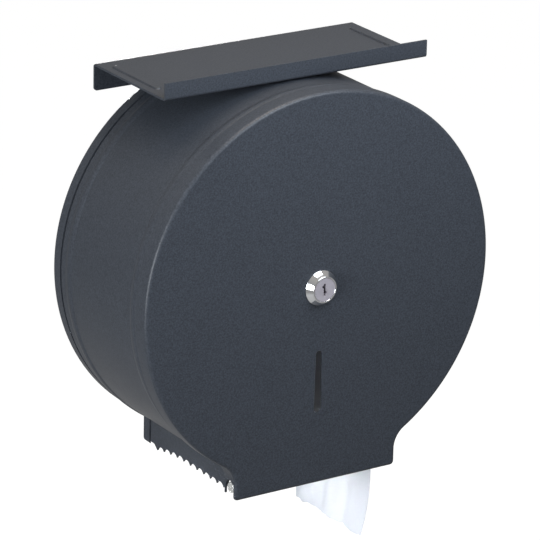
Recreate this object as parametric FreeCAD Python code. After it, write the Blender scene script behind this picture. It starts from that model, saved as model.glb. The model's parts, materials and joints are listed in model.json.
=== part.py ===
"""Wall-mounted jumbo toilet roll dispenser with a shelf on top.

The origin is on the drum's axis in the plane of the wall, which is also the
centre of the four wall screws. +Z is up, +X is to the right of a person who
faces the dispenser, and the front looks along -Y. Every place on the depth is
a distance from the wall, so a point at depth d lies at y = -d. A drop is a
distance below the drum's axis.

The back plate, the shelf and the spindle are fixed to the wall. The cover is
one welded shell of front panel and drum wall. It turns on a rod at the bottom
of the back plate and swings forwards and down. A cam lock in the middle of the
front panel catches a plate in the spindle's end, and the roll turns on the
spindle.
"""
import FreeCAD, Part
import math
import os
from collections import namedtuple

Vector = FreeCAD.Vector

# Sheet steel and clearances
SHEET = 1.2                  # cover, back plate and hinge brackets
SHELF_SHEET = 1.5            # shelf and strike plate
WELD_GAP = 0.2               # between the drum wall and the panel's skirt
CAM_GAP = 0.6                # between the cam and the strike plate
FIT_GAP = 0.05               # rivets, screws and nuts in their holes
TURN_GAP = 0.1               # brackets on the hinge rod, plug in the lock barrel
SIDE_GAP = 0.4               # between bracket and lug at the hinge
OVERRUN = 3.0                # how far every cut runs past the metal

# Front panel, a drawn pan that is open under the neck
FRONT_RADIUS = 133.0
HOUSING_DEPTH = 122.0        # wall to the panel's face
PANEL_NECK_HALF = 63.2
NECK_REACH = 5.0             # how far the neck hangs below the disc
SKIRT_TRIM = 2.6             # from the face's lower edge up to the skirt's end
NECK_BLEND = 16.0            # inside corner from drum to neck
NECK_CORNER = 3.0            # outside corners at the neck's bottom
SKIRT_DEPTH = 13.0
PANEL_EDGE_RADIUS = 2.4      # outside of the bend round the face

# Viewing slot, wider at its lower end
SLOT_TOP = 43.8
SLOT_BOTTOM = 87.6
SLOT_TOP_RADIUS = 2.4
SLOT_BOTTOM_RADIUS = 3.1

# Drum wall, one strip from serrated edge to serrated edge
COVER_REAR = 13.0            # depth of its rear edge
DRUM_BEND = 4.0              # bend from the round wall into the neck
BEAD_HEIGHT = 0.8
REAR_BEAD_SETBACK = 9.5      # from the rear edge to the bead's middle
REAR_BEAD_WIDTH = 7.0
FRONT_BEAD_SETBACK = 4.5     # from the skirt's edge back to the bead's middle
FRONT_BEAD_WIDTH = 8.0

# Serrated lower edge of the neck's side walls
TEETH_RISE = 4.0             # from the panel's lower edge up to the tips
TEETH_SAG = 4.0              # how much lower the rearmost tip hangs
SAG_LENGTH = 36.0            # from the rearmost tip to where the sag ends
PLAIN_RISE = 3.5             # from the panel's lower edge up to the plain stretch behind
TOOTH_HEIGHT = 2.8
TOOTH_PITCH = 8.4
TEETH_START = 21.4           # depth of the first tip
TEETH_RAMP = 4.0             # slope from the plain stretch to the first tip

# Paper guide rod in two notches of the neck
GUIDE_RADIUS = 3.7
NOTCH_RADIUS = 4.8
NOTCH_RISE = 8.3             # from the face's lower edge up to the notch's middle
NOTCH_SETBACK = 7.0          # from the panel's face back to the notch's middle
GUIDE_CHAMFER = 0.5

# Back plate, a shallow tray with the drum wall's outline, in front of the shelf's flange
BACK_TRIM = 0.4              # from the panel's lower edge up to the tray's
BACK_RIM_DEPTH = 11.0        # depth of the rim's front edge
BACK_EDGE_RADIUS = 2.5
BACK_CORNER = 3.0
WALL_HOLE_RADIUS = 3.0
WALL_HOLE_SPAN_X = 120.0
WALL_HOLE_SPAN_Z = 140.0
PAD_RADIUS = 12.0            # pressed pad, from the web back to the wall
PAD_FOOT_RADIUS = 9.0

# Shelf, one bent sheet
SHELF_WIDTH = 201.0
SHELF_REACH = 90.0
SHELF_LIP = 10.4
SHELF_FLANGE = 18.4
SHELF_BEND = 0.7             # inside radius of its bends
FLANGE_CORNER = 2.0
RIB_HEIGHT = 0.8
RIB_WIDTH = 6.0
RIB_LENGTH = 57.0
RIB_INSET = 8.0              # from the shelf's end to the rib's middle
RIB_REAR = 13.0              # depth of the rib's rear end
RIB_ROUND = 0.7
RIB_SINK = 0.6               # depth of the groove under the rib

# Rivets
RIVET_RADIUS = 2.0
RIVET_HEAD_RADIUS = 3.6
RIVET_HEAD_HEIGHT = 1.5
RIVET_HEAD_SLOPE = 1.1
RIVET_TAIL_RADIUS = 3.2
RIVET_TAIL_HEIGHT = 1.0
SHELF_RIVET_HALF_SPAN = 25.0
SHELF_RIVET_RISE = 3.9       # above the flange's lower edge
SPINDLE_RIVETS = 4
SPINDLE_RIVET_RING = 26.8

# Spindle
SPINDLE_RADIUS = 22.0
SPINDLE_SHEET = 1.5
SPINDLE_SETBACK = 24.0       # from the panel's face back to its open end
SPINDLE_FOOT_RADIUS = 32.0
SPINDLE_FOOT_SHEET = 2.0
STRIKE_RISE = 7.5            # lower edge of the strike plate, above the axis

# Hinge
HINGE_DEPTH = 13.5
HINGE_ROD_RADIUS = 2.0
HINGE_ROD_END = 1.2          # how far the rod shows past each bracket
EAR_RADIUS = 3.3
EAR_INSET = 2.0              # from the neck's wall to the ear's outside
BRACKET_STEP = 20.8          # depth where the bracket turns to the wall
BRACKET_END = 32.0           # depth of its front end
BRACKET_RISE = 12.0          # from the hinge rod's axis up to its top
BRACKET_FOOT_RISE = 2.0      # and to the flange's foot
BRACKET_CORNER = 2.0
BRACKET_BEND = 0.6

# Cam lock
BEZEL_RADIUS = 12.0
BEZEL_RIM = 0.7
BEZEL_FRONT_RADIUS = 9.2
BEZEL_ROUND = 0.4
LOCK_PROUD = 5.0
BARREL_RADIUS = 9.0
BARREL_FLAT = 8.0            # half the width across its flats
BARREL_LENGTH = 22.0
PLUG_HEAD_RADIUS = 7.9
PLUG_HEAD_HEIGHT = 2.0
PLUG_RECESS = 0.3
PLUG_RADIUS = 6.0
STEM_RADIUS = 4.5
KEYWAY_HEIGHT = 8.5
KEYWAY_WIDTH = 1.7
KEYWAY_DEPTH = 14.0
KEYWAY_WARD = 1.1
WASHER_RADIUS = 12.8
WASHER_SHEET = 0.6
NUT_FLAT = 12.0              # half the width across its flats
NUT_HEIGHT = 4.0
CAM_SHEET = 2.5
CAM_HUB_RADIUS = 6.0
CAM_REACH = 17.0
CAM_WIDTH = 8.0
CAM_ROUND = 2.0
CAM_SQUARE = 6.2
CAM_WASHER_RADIUS = 5.5
CAM_WASHER_SHEET = 0.8
CAM_SCREW_RADIUS = 1.8
CAM_SCREW_HEAD_RADIUS = 3.6
CAM_SCREW_HEAD_HEIGHT = 2.0
CAM_SCREW_LENGTH = 7.0

# Roll on its plastic sleeve
ROLL_SETBACK = 16.0          # from the panel's face back to the roll
PAPER_REAR = 16.0            # depth of the roll's rear face
PAPER_RADIUS = 53.0          # a part-used roll
CORE_RADIUS = 28.0           # inside of the cardboard tube
CORE_SHEET = 2.0
PAPER_GAP = 0.1
SLEEVE_GAP = 0.3             # running gap on the spindle
SLEEVE_SHEET = 2.0
SLEEVE_SETBACK = 1.0         # behind the spindle's end
SLEEVE_RIBS = 8
SLEEVE_RIB_WIDTH = 2.4
SLEEVE_FLANGE_RADIUS = 36.0
SLEEVE_FLANGE_SHEET = 2.0

# Paper that hangs out of the neck
TAIL_SHEET = 0.3
TAIL_GAP = 0.3
TAIL_SHAPE = ((0, 0), (150, 0), (180, 3.5), (199, 10))   # drop, and how far its front edge has run in
TAIL_TOP_FOLD = 0.15
TAIL_FOLD = 1.3
TAIL_FOLDS = 5

# Places that follow from the sizes above
PANEL_BOTTOM = FRONT_RADIUS + NECK_REACH
SKIRT_BOTTOM = PANEL_BOTTOM - SKIRT_TRIM
TOOTH_DROP = PANEL_BOTTOM - TEETH_RISE
PLAIN_DROP = PANEL_BOTTOM - PLAIN_RISE
NOTCH_DROP = PANEL_BOTTOM - NOTCH_RISE
BACK_BOTTOM = PANEL_BOTTOM - BACK_TRIM
HINGE_DROP = BACK_BOTTOM - EAR_RADIUS
BRACKET_TOP = HINGE_DROP - BRACKET_RISE
BRACKET_FOOT = HINGE_DROP - BRACKET_FOOT_RISE
SHELF_TOP = FRONT_RADIUS + SHELF_SHEET
WEB_BACK = SHELF_SHEET
WEB_FRONT = WEB_BACK + SHEET
PANEL_INSIDE = HOUSING_DEPTH - SHEET
SKIRT_EDGE = HOUSING_DEPTH - SKIRT_DEPTH
SCALLOPS = int((SKIRT_EDGE - TEETH_START) / TOOTH_PITCH)
WALL_FRONT = HOUSING_DEPTH - PANEL_EDGE_RADIUS
DRUM_INSET = SHEET + WELD_GAP
DRUM_RADIUS = FRONT_RADIUS - DRUM_INSET
DRUM_NECK_HALF = PANEL_NECK_HALF - DRUM_INSET
DRUM_NECK_INSIDE = DRUM_NECK_HALF - SHEET
NOTCH_DEPTH = HOUSING_DEPTH - NOTCH_SETBACK
GUIDE_DEPTH = NOTCH_DEPTH + NOTCH_RADIUS - GUIDE_RADIUS - FIT_GAP
EAR_OUTSIDE = DRUM_NECK_INSIDE - EAR_INSET
LUG_OUTSIDE = EAR_OUTSIDE - SHEET - SIDE_GAP
HINGE_ROD_HALF = EAR_OUTSIDE + HINGE_ROD_END
SPINDLE_BORE = SPINDLE_RADIUS - SPINDLE_SHEET
SPINDLE_END = HOUSING_DEPTH - SPINDLE_SETBACK
SPINDLE_FOOT_FRONT = WEB_FRONT + SPINDLE_FOOT_SHEET
PAPER_FRONT = HOUSING_DEPTH - ROLL_SETBACK
BARREL_END = HOUSING_DEPTH - BARREL_LENGTH
LOCK_NOSE = HOUSING_DEPTH + LOCK_PROUD
PLUG_FACE = LOCK_NOSE - PLUG_RECESS
PLUG_SHOULDER = PLUG_FACE - PLUG_HEAD_HEIGHT
CAM_FRONT = SPINDLE_END - SHELF_SHEET - CAM_GAP
CAM_DEPTH = CAM_FRONT - CAM_SHEET
CAM_WASHER_BACK = CAM_DEPTH - CAM_WASHER_SHEET
RIVET_HOLE_RADIUS = RIVET_RADIUS + FIT_GAP

Outline = namedtuple("Outline", "radius neck bottom blend corner")


def at(x, depth, z):
    """A point by its distance from the wall."""
    return Vector(x, -depth, z)


def line(start, end):
    return Part.LineSegment(start, end).toShape()


def arc(start, middle, end):
    return Part.Arc(start, middle, end).toShape()


def inset(outline, amount):
    """The same outline moved inwards all round."""
    return Outline(outline.radius - amount, outline.neck - amount, outline.bottom - amount,
                   outline.blend + amount, max(outline.corner - amount, 0))


def housing_wire(outline, depth):
    """A circle that opens at the bottom into a straight-sided neck."""
    radius, neck, bottom, blend, corner = outline
    centre_x = neck + blend
    centre_z = -math.sqrt((radius + blend) ** 2 - centre_x ** 2)
    share = radius / (radius + blend)
    lean_x = -centre_x / (radius + blend) - 1
    lean_z = -centre_z / (radius + blend)
    lean = math.hypot(lean_x, lean_z)
    middle_x = centre_x + blend * lean_x / lean
    middle_z = centre_z + blend * lean_z / lean
    edges = []
    for side in (-1, 1):
        crease = at(side * centre_x * share, depth, centre_z * share)
        foot = at(side * neck, depth, centre_z)
        edges.append(arc(crease, at(side * radius, depth, 0), at(0, depth, radius)))
        edges.append(arc(crease, at(side * middle_x, depth, middle_z), foot))
        edges.append(line(foot, at(side * neck, depth, corner - bottom)))
        if corner > 0:
            cut = corner * (1 - math.sqrt(0.5))
            edges.append(arc(at(side * neck, depth, corner - bottom),
                             at(side * (neck - cut), depth, cut - bottom),
                             at(side * (neck - corner), depth, -bottom)))
    edges.append(line(at(corner - neck, depth, -bottom), at(neck - corner, depth, -bottom)))
    return Part.Wire(Part.__sortEdges__(edges))


def housing_prism(outline, depth_from, depth_to):
    face = Part.Face(housing_wire(outline, depth_from))
    return face.extrude(at(0, depth_to - depth_from, 0))


def rounded_edge(shape, depth, radius):
    """Rounds every edge of a shape that lies in one plane parallel to the wall."""
    edges = [edge for edge in shape.Edges if all(abs(v.Y + depth) < FIT_GAP for v in edge.Vertexes)]
    return shape.makeFillet(radius, edges)


def rounded_wire(corners):
    """A closed wire through corner points, each with its own radius."""
    edges = []
    ends = []
    for index, (point, radius) in enumerate(corners):
        before = corners[index - 1][0] - point
        after = corners[(index + 1) % len(corners)][0] - point
        before.normalize()
        after.normalize()
        if radius > 0:
            half = before.getAngle(after) / 2
            bisector = (before + after).normalize()
            reach = radius / math.tan(half)
            first = point + before * reach
            last = point + after * reach
            middle = point + bisector * (radius / math.sin(half) - radius)
            edges.append(arc(first, middle, last))
            ends.append((first, last))
        else:
            ends.append((point, point))
    for index, (first, last) in enumerate(ends):
        following = ends[(index + 1) % len(ends)][0]
        if last.distanceToPoint(following) > FIT_GAP / 10:
            edges.append(line(last, following))
    return Part.Wire(Part.__sortEdges__(edges))


def plate(corners, thickness):
    """A flat plate from rounded corners, thickened along a vector."""
    return Part.Face(rounded_wire(corners)).extrude(thickness)


def cylinder(radius, depth_from, depth_to, x=0, z=0):
    """A round bar that points away from the wall."""
    return Part.makeCylinder(radius, depth_to - depth_from, at(x, depth_from, z), Vector(0, -1, 0))


def crosswise(radius, half, depth, drop):
    """A round bar along X."""
    return Part.makeCylinder(radius, 2 * half, at(-half, depth, -drop), Vector(1, 0, 0))


def tube(outside, inside, depth_from, depth_to):
    hole = cylinder(inside, depth_from - OVERRUN, depth_to + OVERRUN)
    return cylinder(outside, depth_from, depth_to).cut(hole)


def block(x_from, x_to, depth_from, depth_to, z_from, z_to):
    return Part.makeBox(x_to - x_from, depth_to - depth_from, z_to - z_from,
                        Vector(x_from, -depth_to, z_from))


def turned(profile):
    """A body turned about the drum's axis from points of radius and depth."""
    points = [Vector(radius, -depth, 0) for radius, depth in profile]
    face = Part.Face(Part.makePolygon(points + points[:1]))
    return face.revolve(Vector(0, 0, 0), Vector(0, 1, 0), 360)


def mirrored(shape):
    return shape.mirror(Vector(0, 0, 0), Vector(1, 0, 0))


def one_shape(shape):
    """The plain solid of a shape, or its solids as one group."""
    solids = shape.removeSplitter().Solids
    return solids[0] if len(solids) == 1 else Part.makeCompound(solids)


def pan(outline, face_depth, rim_depth, edge_radius):
    """A drawn pan: a face with a rounded edge and a skirt of the same sheet."""
    way = 1 if rim_depth > face_depth else -1
    outside = rounded_edge(housing_prism(outline, face_depth, rim_depth), face_depth, edge_radius)
    inner_face = face_depth + way * SHEET
    hollow = housing_prism(inset(outline, SHEET), inner_face, rim_depth + way * OVERRUN)
    return outside.cut(rounded_edge(hollow, inner_face, edge_radius - SHEET))


def front_panel():
    outline = Outline(FRONT_RADIUS, PANEL_NECK_HALF, PANEL_BOTTOM, NECK_BLEND, NECK_CORNER)
    panel = pan(outline, HOUSING_DEPTH, SKIRT_EDGE, PANEL_EDGE_RADIUS)
    notch_front = NOTCH_DEPTH + NOTCH_RADIUS
    beyond = PANEL_NECK_HALF + OVERRUN
    mouth = block(-beyond, beyond, SKIRT_EDGE - OVERRUN, notch_front,
                  -PANEL_BOTTOM - OVERRUN, -SKIRT_BOTTOM)
    lock_hole = cylinder(BARREL_RADIUS + FIT_GAP, PANEL_INSIDE - OVERRUN, HOUSING_DEPTH + OVERRUN)
    flats = block(-BARREL_FLAT - FIT_GAP, BARREL_FLAT + FIT_GAP,
                  PANEL_INSIDE - OVERRUN, HOUSING_DEPTH + OVERRUN,
                  -BARREL_RADIUS - OVERRUN, BARREL_RADIUS + OVERRUN)
    panel = panel.cut(mouth).cut(rod_notch())
    return panel.cut(lock_hole.common(flats)).cut(viewing_slot())


def rod_notch():
    """A half-round seat in both side walls that is open downwards."""
    beyond = PANEL_NECK_HALF + OVERRUN
    below = block(-beyond, beyond, NOTCH_DEPTH - NOTCH_RADIUS, NOTCH_DEPTH + NOTCH_RADIUS,
                  -SKIRT_BOTTOM, -NOTCH_DROP)
    return crosswise(NOTCH_RADIUS, beyond, NOTCH_DEPTH, NOTCH_DROP).fuse(below)


def viewing_slot():
    """Two arcs and the two straight lines that touch both of them."""
    upper = -SLOT_TOP - SLOT_TOP_RADIUS
    lower = -SLOT_BOTTOM + SLOT_BOTTOM_RADIUS
    lean = math.asin((SLOT_BOTTOM_RADIUS - SLOT_TOP_RADIUS) / (upper - lower))
    depth = PANEL_INSIDE - OVERRUN
    touch = []
    for side in (-1, 1):
        for radius, height in ((SLOT_TOP_RADIUS, upper), (SLOT_BOTTOM_RADIUS, lower)):
            touch.append(at(side * radius * math.cos(lean), depth, height + radius * math.sin(lean)))
    left_top, left_bottom, right_top, right_bottom = touch
    edges = [arc(left_top, at(0, depth, -SLOT_TOP), right_top), line(right_top, right_bottom),
             arc(right_bottom, at(0, depth, -SLOT_BOTTOM), left_bottom), line(left_bottom, left_top)]
    return Part.Face(Part.Wire(edges)).extrude(at(0, SHEET + 2 * OVERRUN, 0))


def wall_body(amount, run_past):
    """The wall's outside, or its inside when the amount is the sheet."""
    outline = Outline(DRUM_RADIUS - amount, DRUM_NECK_HALF - amount, PANEL_BOTTOM + OVERRUN + amount,
                      DRUM_BEND + amount, 0)
    body = housing_prism(outline, COVER_REAR - run_past, WALL_FRONT + run_past)
    rear = bead_ring(DRUM_RADIUS - amount, COVER_REAR + REAR_BEAD_SETBACK, REAR_BEAD_WIDTH)
    front = bead_ring(DRUM_RADIUS - amount, SKIRT_EDGE - FRONT_BEAD_SETBACK, FRONT_BEAD_WIDTH)
    return body.fuse(rear).fuse(front)


def bead_ring(radius, middle, width):
    """A ring whose outside swells into a shallow bead."""
    rear = middle - width / 2
    front = middle + width / 2
    root = radius - SHEET / 2
    crest = arc(at(radius, rear, 0), at(radius + BEAD_HEIGHT, middle, 0), at(radius, front, 0))
    edges = [crest, line(at(radius, front, 0), at(root, front, 0)),
             line(at(root, front, 0), at(root, rear, 0)), line(at(root, rear, 0), at(radius, rear, 0))]
    return Part.Face(Part.Wire(edges)).revolve(Vector(0, 0, 0), Vector(0, 1, 0), 360)


def tooth_tip(x, index):
    """The tips lie level, but the rearmost few hang lower and lower."""
    along = index * TOOTH_PITCH
    sag = TEETH_SAG * max(0, 1 - along / SAG_LENGTH) ** 2
    return at(x, TEETH_START + along, -TOOTH_DROP - sag)


def below_wall():
    """Everything below the wall's lower edge: plain stretch, teeth and rod notch."""
    beyond = PANEL_NECK_HALF + OVERRUN
    x = -beyond
    below = -PANEL_BOTTOM - 3 * OVERRUN
    rear = COVER_REAR - OVERRUN
    front = WALL_FRONT + OVERRUN
    root = TOOTH_HEIGHT - TOOTH_DROP
    tip = tooth_tip(x, 0)
    ramp = at(x, TEETH_START - TEETH_RAMP, -PLAIN_DROP)
    edges = [line(at(x, rear, below), at(x, rear, -PLAIN_DROP)), line(at(x, rear, -PLAIN_DROP), ramp),
             line(ramp, tip)]
    for index in range(SCALLOPS):
        following = tooth_tip(x, index + 1)
        middle = (tip + following) / 2 + Vector(0, 0, TOOTH_HEIGHT)
        edges.append(arc(tip, middle, following))
        tip = following
    notch_rear = NOTCH_DEPTH - NOTCH_RADIUS
    notch_top = at(x, NOTCH_DEPTH, NOTCH_RADIUS - NOTCH_DROP)
    half = NOTCH_RADIUS * math.sqrt(0.5)
    seat = at(x, notch_rear, -NOTCH_DROP)
    edges += [line(tip, at(x, SKIRT_EDGE, root)), line(at(x, SKIRT_EDGE, root), at(x, notch_rear, root)),
              line(at(x, notch_rear, root), seat),
              arc(seat, at(x, NOTCH_DEPTH - half, half - NOTCH_DROP), notch_top),
              line(notch_top, at(x, front, NOTCH_RADIUS - NOTCH_DROP)),
              line(at(x, front, NOTCH_RADIUS - NOTCH_DROP), at(x, front, below)),
              line(at(x, front, below), at(x, rear, below))]
    return Part.Face(Part.Wire(edges)).extrude(Vector(2 * beyond, 0, 0))


def drum_wall():
    return wall_body(0, 0).cut(wall_body(SHEET, OVERRUN)).cut(below_wall())


def guide_rod():
    """A round bar across the neck, against the front of the notches in both side walls."""
    rod = crosswise(GUIDE_RADIUS, PANEL_NECK_HALF, GUIDE_DEPTH, NOTCH_DROP)
    return rod.makeChamfer(GUIDE_CHAMFER, [e for e in rod.Edges if isinstance(e.Curve, Part.Circle)])


def hinge_bracket():
    """Right-hand bracket: an ear on the hinge rod and a flange on the neck's side wall."""
    wall = DRUM_NECK_INSIDE
    rear = HINGE_DEPTH - EAR_RADIUS
    low = -HINGE_DROP - EAR_RADIUS
    web_front = BRACKET_STEP + SHEET
    path = [(EAR_OUTSIDE, rear, 0), (EAR_OUTSIDE, BRACKET_STEP, 0), (wall, BRACKET_STEP, BRACKET_BEND),
            (wall, BRACKET_END, 0), (wall - SHEET, BRACKET_END, 0), (wall - SHEET, web_front, 0),
            (EAR_OUTSIDE - SHEET, web_front, BRACKET_BEND), (EAR_OUTSIDE - SHEET, rear, 0)]
    bent = plate([(at(x, depth, low), radius) for x, depth, radius in path],
                 Vector(0, 0, -BRACKET_TOP - low))
    outline = [(rear, low, EAR_RADIUS), (HINGE_DEPTH + EAR_RADIUS, low, EAR_RADIUS / 2),
               (web_front, -BRACKET_FOOT, 0), (BRACKET_END, -BRACKET_FOOT, BRACKET_CORNER),
               (BRACKET_END, -BRACKET_TOP, BRACKET_CORNER), (BRACKET_STEP, -BRACKET_TOP, 0),
               (rear, EAR_RADIUS - HINGE_DROP, EAR_RADIUS)]
    side = plate([(at(EAR_OUTSIDE - SHEET - OVERRUN, depth, z), radius) for depth, z, radius in outline],
                 Vector(SHEET + EAR_INSET + 2 * OVERRUN, 0, 0))
    bore = crosswise(HINGE_ROD_RADIUS + TURN_GAP, PANEL_NECK_HALF, HINGE_DEPTH, HINGE_DROP)
    return bent.common(side).cut(bore)


def hinge_rod():
    return crosswise(HINGE_ROD_RADIUS, HINGE_ROD_HALF, HINGE_DEPTH, HINGE_DROP)


def hinge_lug():
    """Right-hand lug, bent forwards from the back plate beside the bracket."""
    round_end = EAR_RADIUS - FIT_GAP
    lug = [(WEB_BACK, EAR_RADIUS - HINGE_DROP, 0), (WEB_BACK, -HINGE_DROP - EAR_RADIUS, 0),
           (HINGE_DEPTH + EAR_RADIUS, -HINGE_DROP - EAR_RADIUS, round_end),
           (HINGE_DEPTH + EAR_RADIUS, EAR_RADIUS - HINGE_DROP, round_end)]
    return plate([(at(LUG_OUTSIDE - SHEET, depth, z), radius) for depth, z, radius in lug],
                 Vector(SHEET, 0, 0))


def wall_pad(x, z):
    """Solid and recess of one pad, pressed back from the web to the wall."""
    raised = Part.makeCone(PAD_FOOT_RADIUS, PAD_RADIUS, WEB_BACK, at(x, 0, z), Vector(0, -1, 0))
    sunk = Part.makeCone(PAD_FOOT_RADIUS - SHEET / 2, PAD_RADIUS - SHEET / 2, WEB_BACK,
                         at(x, SHEET, z), Vector(0, -1, 0))
    return raised, sunk


def back_plate():
    outline = Outline(DRUM_RADIUS, DRUM_NECK_HALF, BACK_BOTTOM, DRUM_BEND, BACK_CORNER)
    tray = pan(outline, WEB_BACK, BACK_RIM_DEPTH, BACK_EDGE_RADIUS)
    inside = DRUM_NECK_INSIDE
    mouth = block(-inside, inside, WEB_FRONT, BACK_RIM_DEPTH + OVERRUN,
                  -BACK_BOTTOM - OVERRUN, BACK_CORNER - BACK_BOTTOM)
    tray = tray.cut(mouth).fuse(hinge_lug()).fuse(mirrored(hinge_lug()))
    tray = tray.cut(crosswise(HINGE_ROD_RADIUS, inside, HINGE_DEPTH, HINGE_DROP))
    for x in (-WALL_HOLE_SPAN_X / 2, WALL_HOLE_SPAN_X / 2):
        for z in (-WALL_HOLE_SPAN_Z / 2, WALL_HOLE_SPAN_Z / 2):
            raised, sunk = wall_pad(x, z)
            hole = cylinder(WALL_HOLE_RADIUS, -OVERRUN, WEB_FRONT + OVERRUN, x, z)
            tray = tray.fuse(raised).cut(sunk).cut(hole)
    for x, z in shelf_rivet_places() + spindle_rivet_places():
        tray = tray.cut(cylinder(RIVET_HOLE_RADIUS, -OVERRUN, WEB_FRONT + OVERRUN, x, z))
    return tray


def shelf_rivet_places():
    z = SHELF_TOP - SHELF_FLANGE + SHELF_RIVET_RISE
    return [(-SHELF_RIVET_HALF_SPAN, z), (SHELF_RIVET_HALF_SPAN, z)]


def spindle_rivet_places():
    turn = 2 * math.pi / SPINDLE_RIVETS
    return [(SPINDLE_RIVET_RING * math.cos(turn * (index + 0.5)),
             SPINDLE_RIVET_RING * math.sin(turn * (index + 0.5))) for index in range(SPINDLE_RIVETS)]


def rivet(x, z, depth_from, depth_to):
    """A shank with a low sloping head that sits on the sheet in front."""
    edge = RIVET_HEAD_HEIGHT - RIVET_HEAD_SLOPE
    slope = Part.makeCone(RIVET_HEAD_RADIUS, RIVET_HEAD_RADIUS - RIVET_HEAD_SLOPE,
                          RIVET_HEAD_SLOPE, at(x, depth_to + edge, z), Vector(0, -1, 0))
    head = cylinder(RIVET_HEAD_RADIUS, depth_to, depth_to + edge, x, z).fuse(slope)
    return cylinder(RIVET_RADIUS, depth_from, depth_to, x, z).fuse(head)


def shelf_rivets():
    """Flush behind, because the shelf's flange lies on the wall."""
    return Part.makeCompound([rivet(x, z, 0, WEB_FRONT) for x, z in shelf_rivet_places()])


def spindle_rivets():
    """Upset behind the back plate, which stands off the wall here."""
    group = []
    for x, z in spindle_rivet_places():
        tail = cylinder(RIVET_TAIL_RADIUS, WEB_BACK - RIVET_TAIL_HEIGHT, WEB_BACK, x, z)
        group.append(rivet(x, z, WEB_BACK, SPINDLE_FOOT_FRONT).fuse(tail))
    return Part.makeCompound(group)


def shelf():
    """Flange, tray and lip from one strip, with a pressed rib near each end."""
    top = SHELF_TOP
    under = top - SHELF_SHEET
    low = top - SHELF_FLANGE
    inside = SHELF_REACH - SHELF_SHEET
    outer_bend = SHELF_BEND + SHELF_SHEET
    section = [(0, low, 0), (0, top, outer_bend), (inside, top, SHELF_BEND),
               (inside, top + SHELF_LIP, 0), (SHELF_REACH, top + SHELF_LIP, 0),
               (SHELF_REACH, under, outer_bend), (SHELF_SHEET, under, SHELF_BEND), (SHELF_SHEET, low, 0)]
    strip = plate([(at(-SHELF_WIDTH / 2, depth, z), radius) for depth, z, radius in section],
                  Vector(SHELF_WIDTH, 0, 0))
    corners = [edge for edge in strip.Edges
               if all(abs(v.Z - low) < FIT_GAP for v in edge.Vertexes)
               and abs(edge.Vertexes[0].Y - edge.Vertexes[-1].Y) > SHELF_SHEET / 2]
    strip = strip.makeFillet(FLANGE_CORNER, corners)
    for side in (-1, 1):
        x = side * (SHELF_WIDTH / 2 - RIB_INSET)
        rib = rib_block(x, RIB_WIDTH, top - SHELF_SHEET / 2, top + RIB_HEIGHT)
        crown = [edge for edge in rib.Edges
                 if all(abs(v.Z - top - RIB_HEIGHT) < FIT_GAP for v in edge.Vertexes)]
        groove = rib_block(x, RIB_WIDTH - 2 * SHELF_SHEET, under - OVERRUN, under + RIB_SINK)
        strip = strip.fuse(rib.makeFillet(RIB_ROUND, crown)).cut(groove)
    for x, z in shelf_rivet_places():
        strip = strip.cut(cylinder(RIVET_HOLE_RADIUS, -OVERRUN, SHELF_SHEET + OVERRUN, x, z))
    return strip


def rib_block(x, width, z_from, z_to):
    """A round-ended bar along the depth, narrowed at both ends alike."""
    trim = (RIB_WIDTH - width) / 2
    half = width / 2
    rear = RIB_REAR + trim + half
    front = RIB_REAR + RIB_LENGTH - trim - half
    edges = [line(at(x - half, rear, z_from), at(x - half, front, z_from)),
             arc(at(x - half, front, z_from), at(x, front + half, z_from), at(x + half, front, z_from)),
             line(at(x + half, front, z_from), at(x + half, rear, z_from)),
             arc(at(x + half, rear, z_from), at(x, rear - half, z_from), at(x - half, rear, z_from))]
    return Part.Face(Part.Wire(edges)).extrude(Vector(0, 0, z_to - z_from))


def spindle_foot():
    foot = cylinder(SPINDLE_FOOT_RADIUS, WEB_FRONT, SPINDLE_FOOT_FRONT)
    for x, z in spindle_rivet_places():
        foot = foot.cut(cylinder(RIVET_HOLE_RADIUS, -OVERRUN, SPINDLE_FOOT_FRONT + OVERRUN, x, z))
    return foot


def strike_plate():
    """A segment across the top of the spindle's open end, which the cam turns behind."""
    disc = cylinder(SPINDLE_BORE, SPINDLE_END - SHELF_SHEET, SPINDLE_END)
    return disc.common(block(-SPINDLE_RADIUS, SPINDLE_RADIUS, 0, SPINDLE_END + OVERRUN,
                             STRIKE_RISE, SPINDLE_RADIUS))


def lock_housing():
    """Conical bezel and threaded barrel, bored and recessed for the plug."""
    head_hole = PLUG_HEAD_RADIUS + TURN_GAP
    body_hole = PLUG_RADIUS + TURN_GAP
    shoulder = PLUG_SHOULDER - FIT_GAP
    bezel = turned([(body_hole, HOUSING_DEPTH), (BEZEL_RADIUS, HOUSING_DEPTH),
                    (BEZEL_RADIUS, HOUSING_DEPTH + BEZEL_RIM),
                    (BEZEL_FRONT_RADIUS, LOCK_NOSE - BEZEL_ROUND),
                    (BEZEL_FRONT_RADIUS - BEZEL_ROUND, LOCK_NOSE), (head_hole, LOCK_NOSE),
                    (head_hole, shoulder), (body_hole, shoulder)])
    barrel = tube(BARREL_RADIUS, body_hole, BARREL_END, HOUSING_DEPTH)
    flats = block(-BARREL_FLAT, BARREL_FLAT, BARREL_END, HOUSING_DEPTH, -BARREL_RADIUS, BARREL_RADIUS)
    return bezel.fuse(barrel.common(flats))


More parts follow.
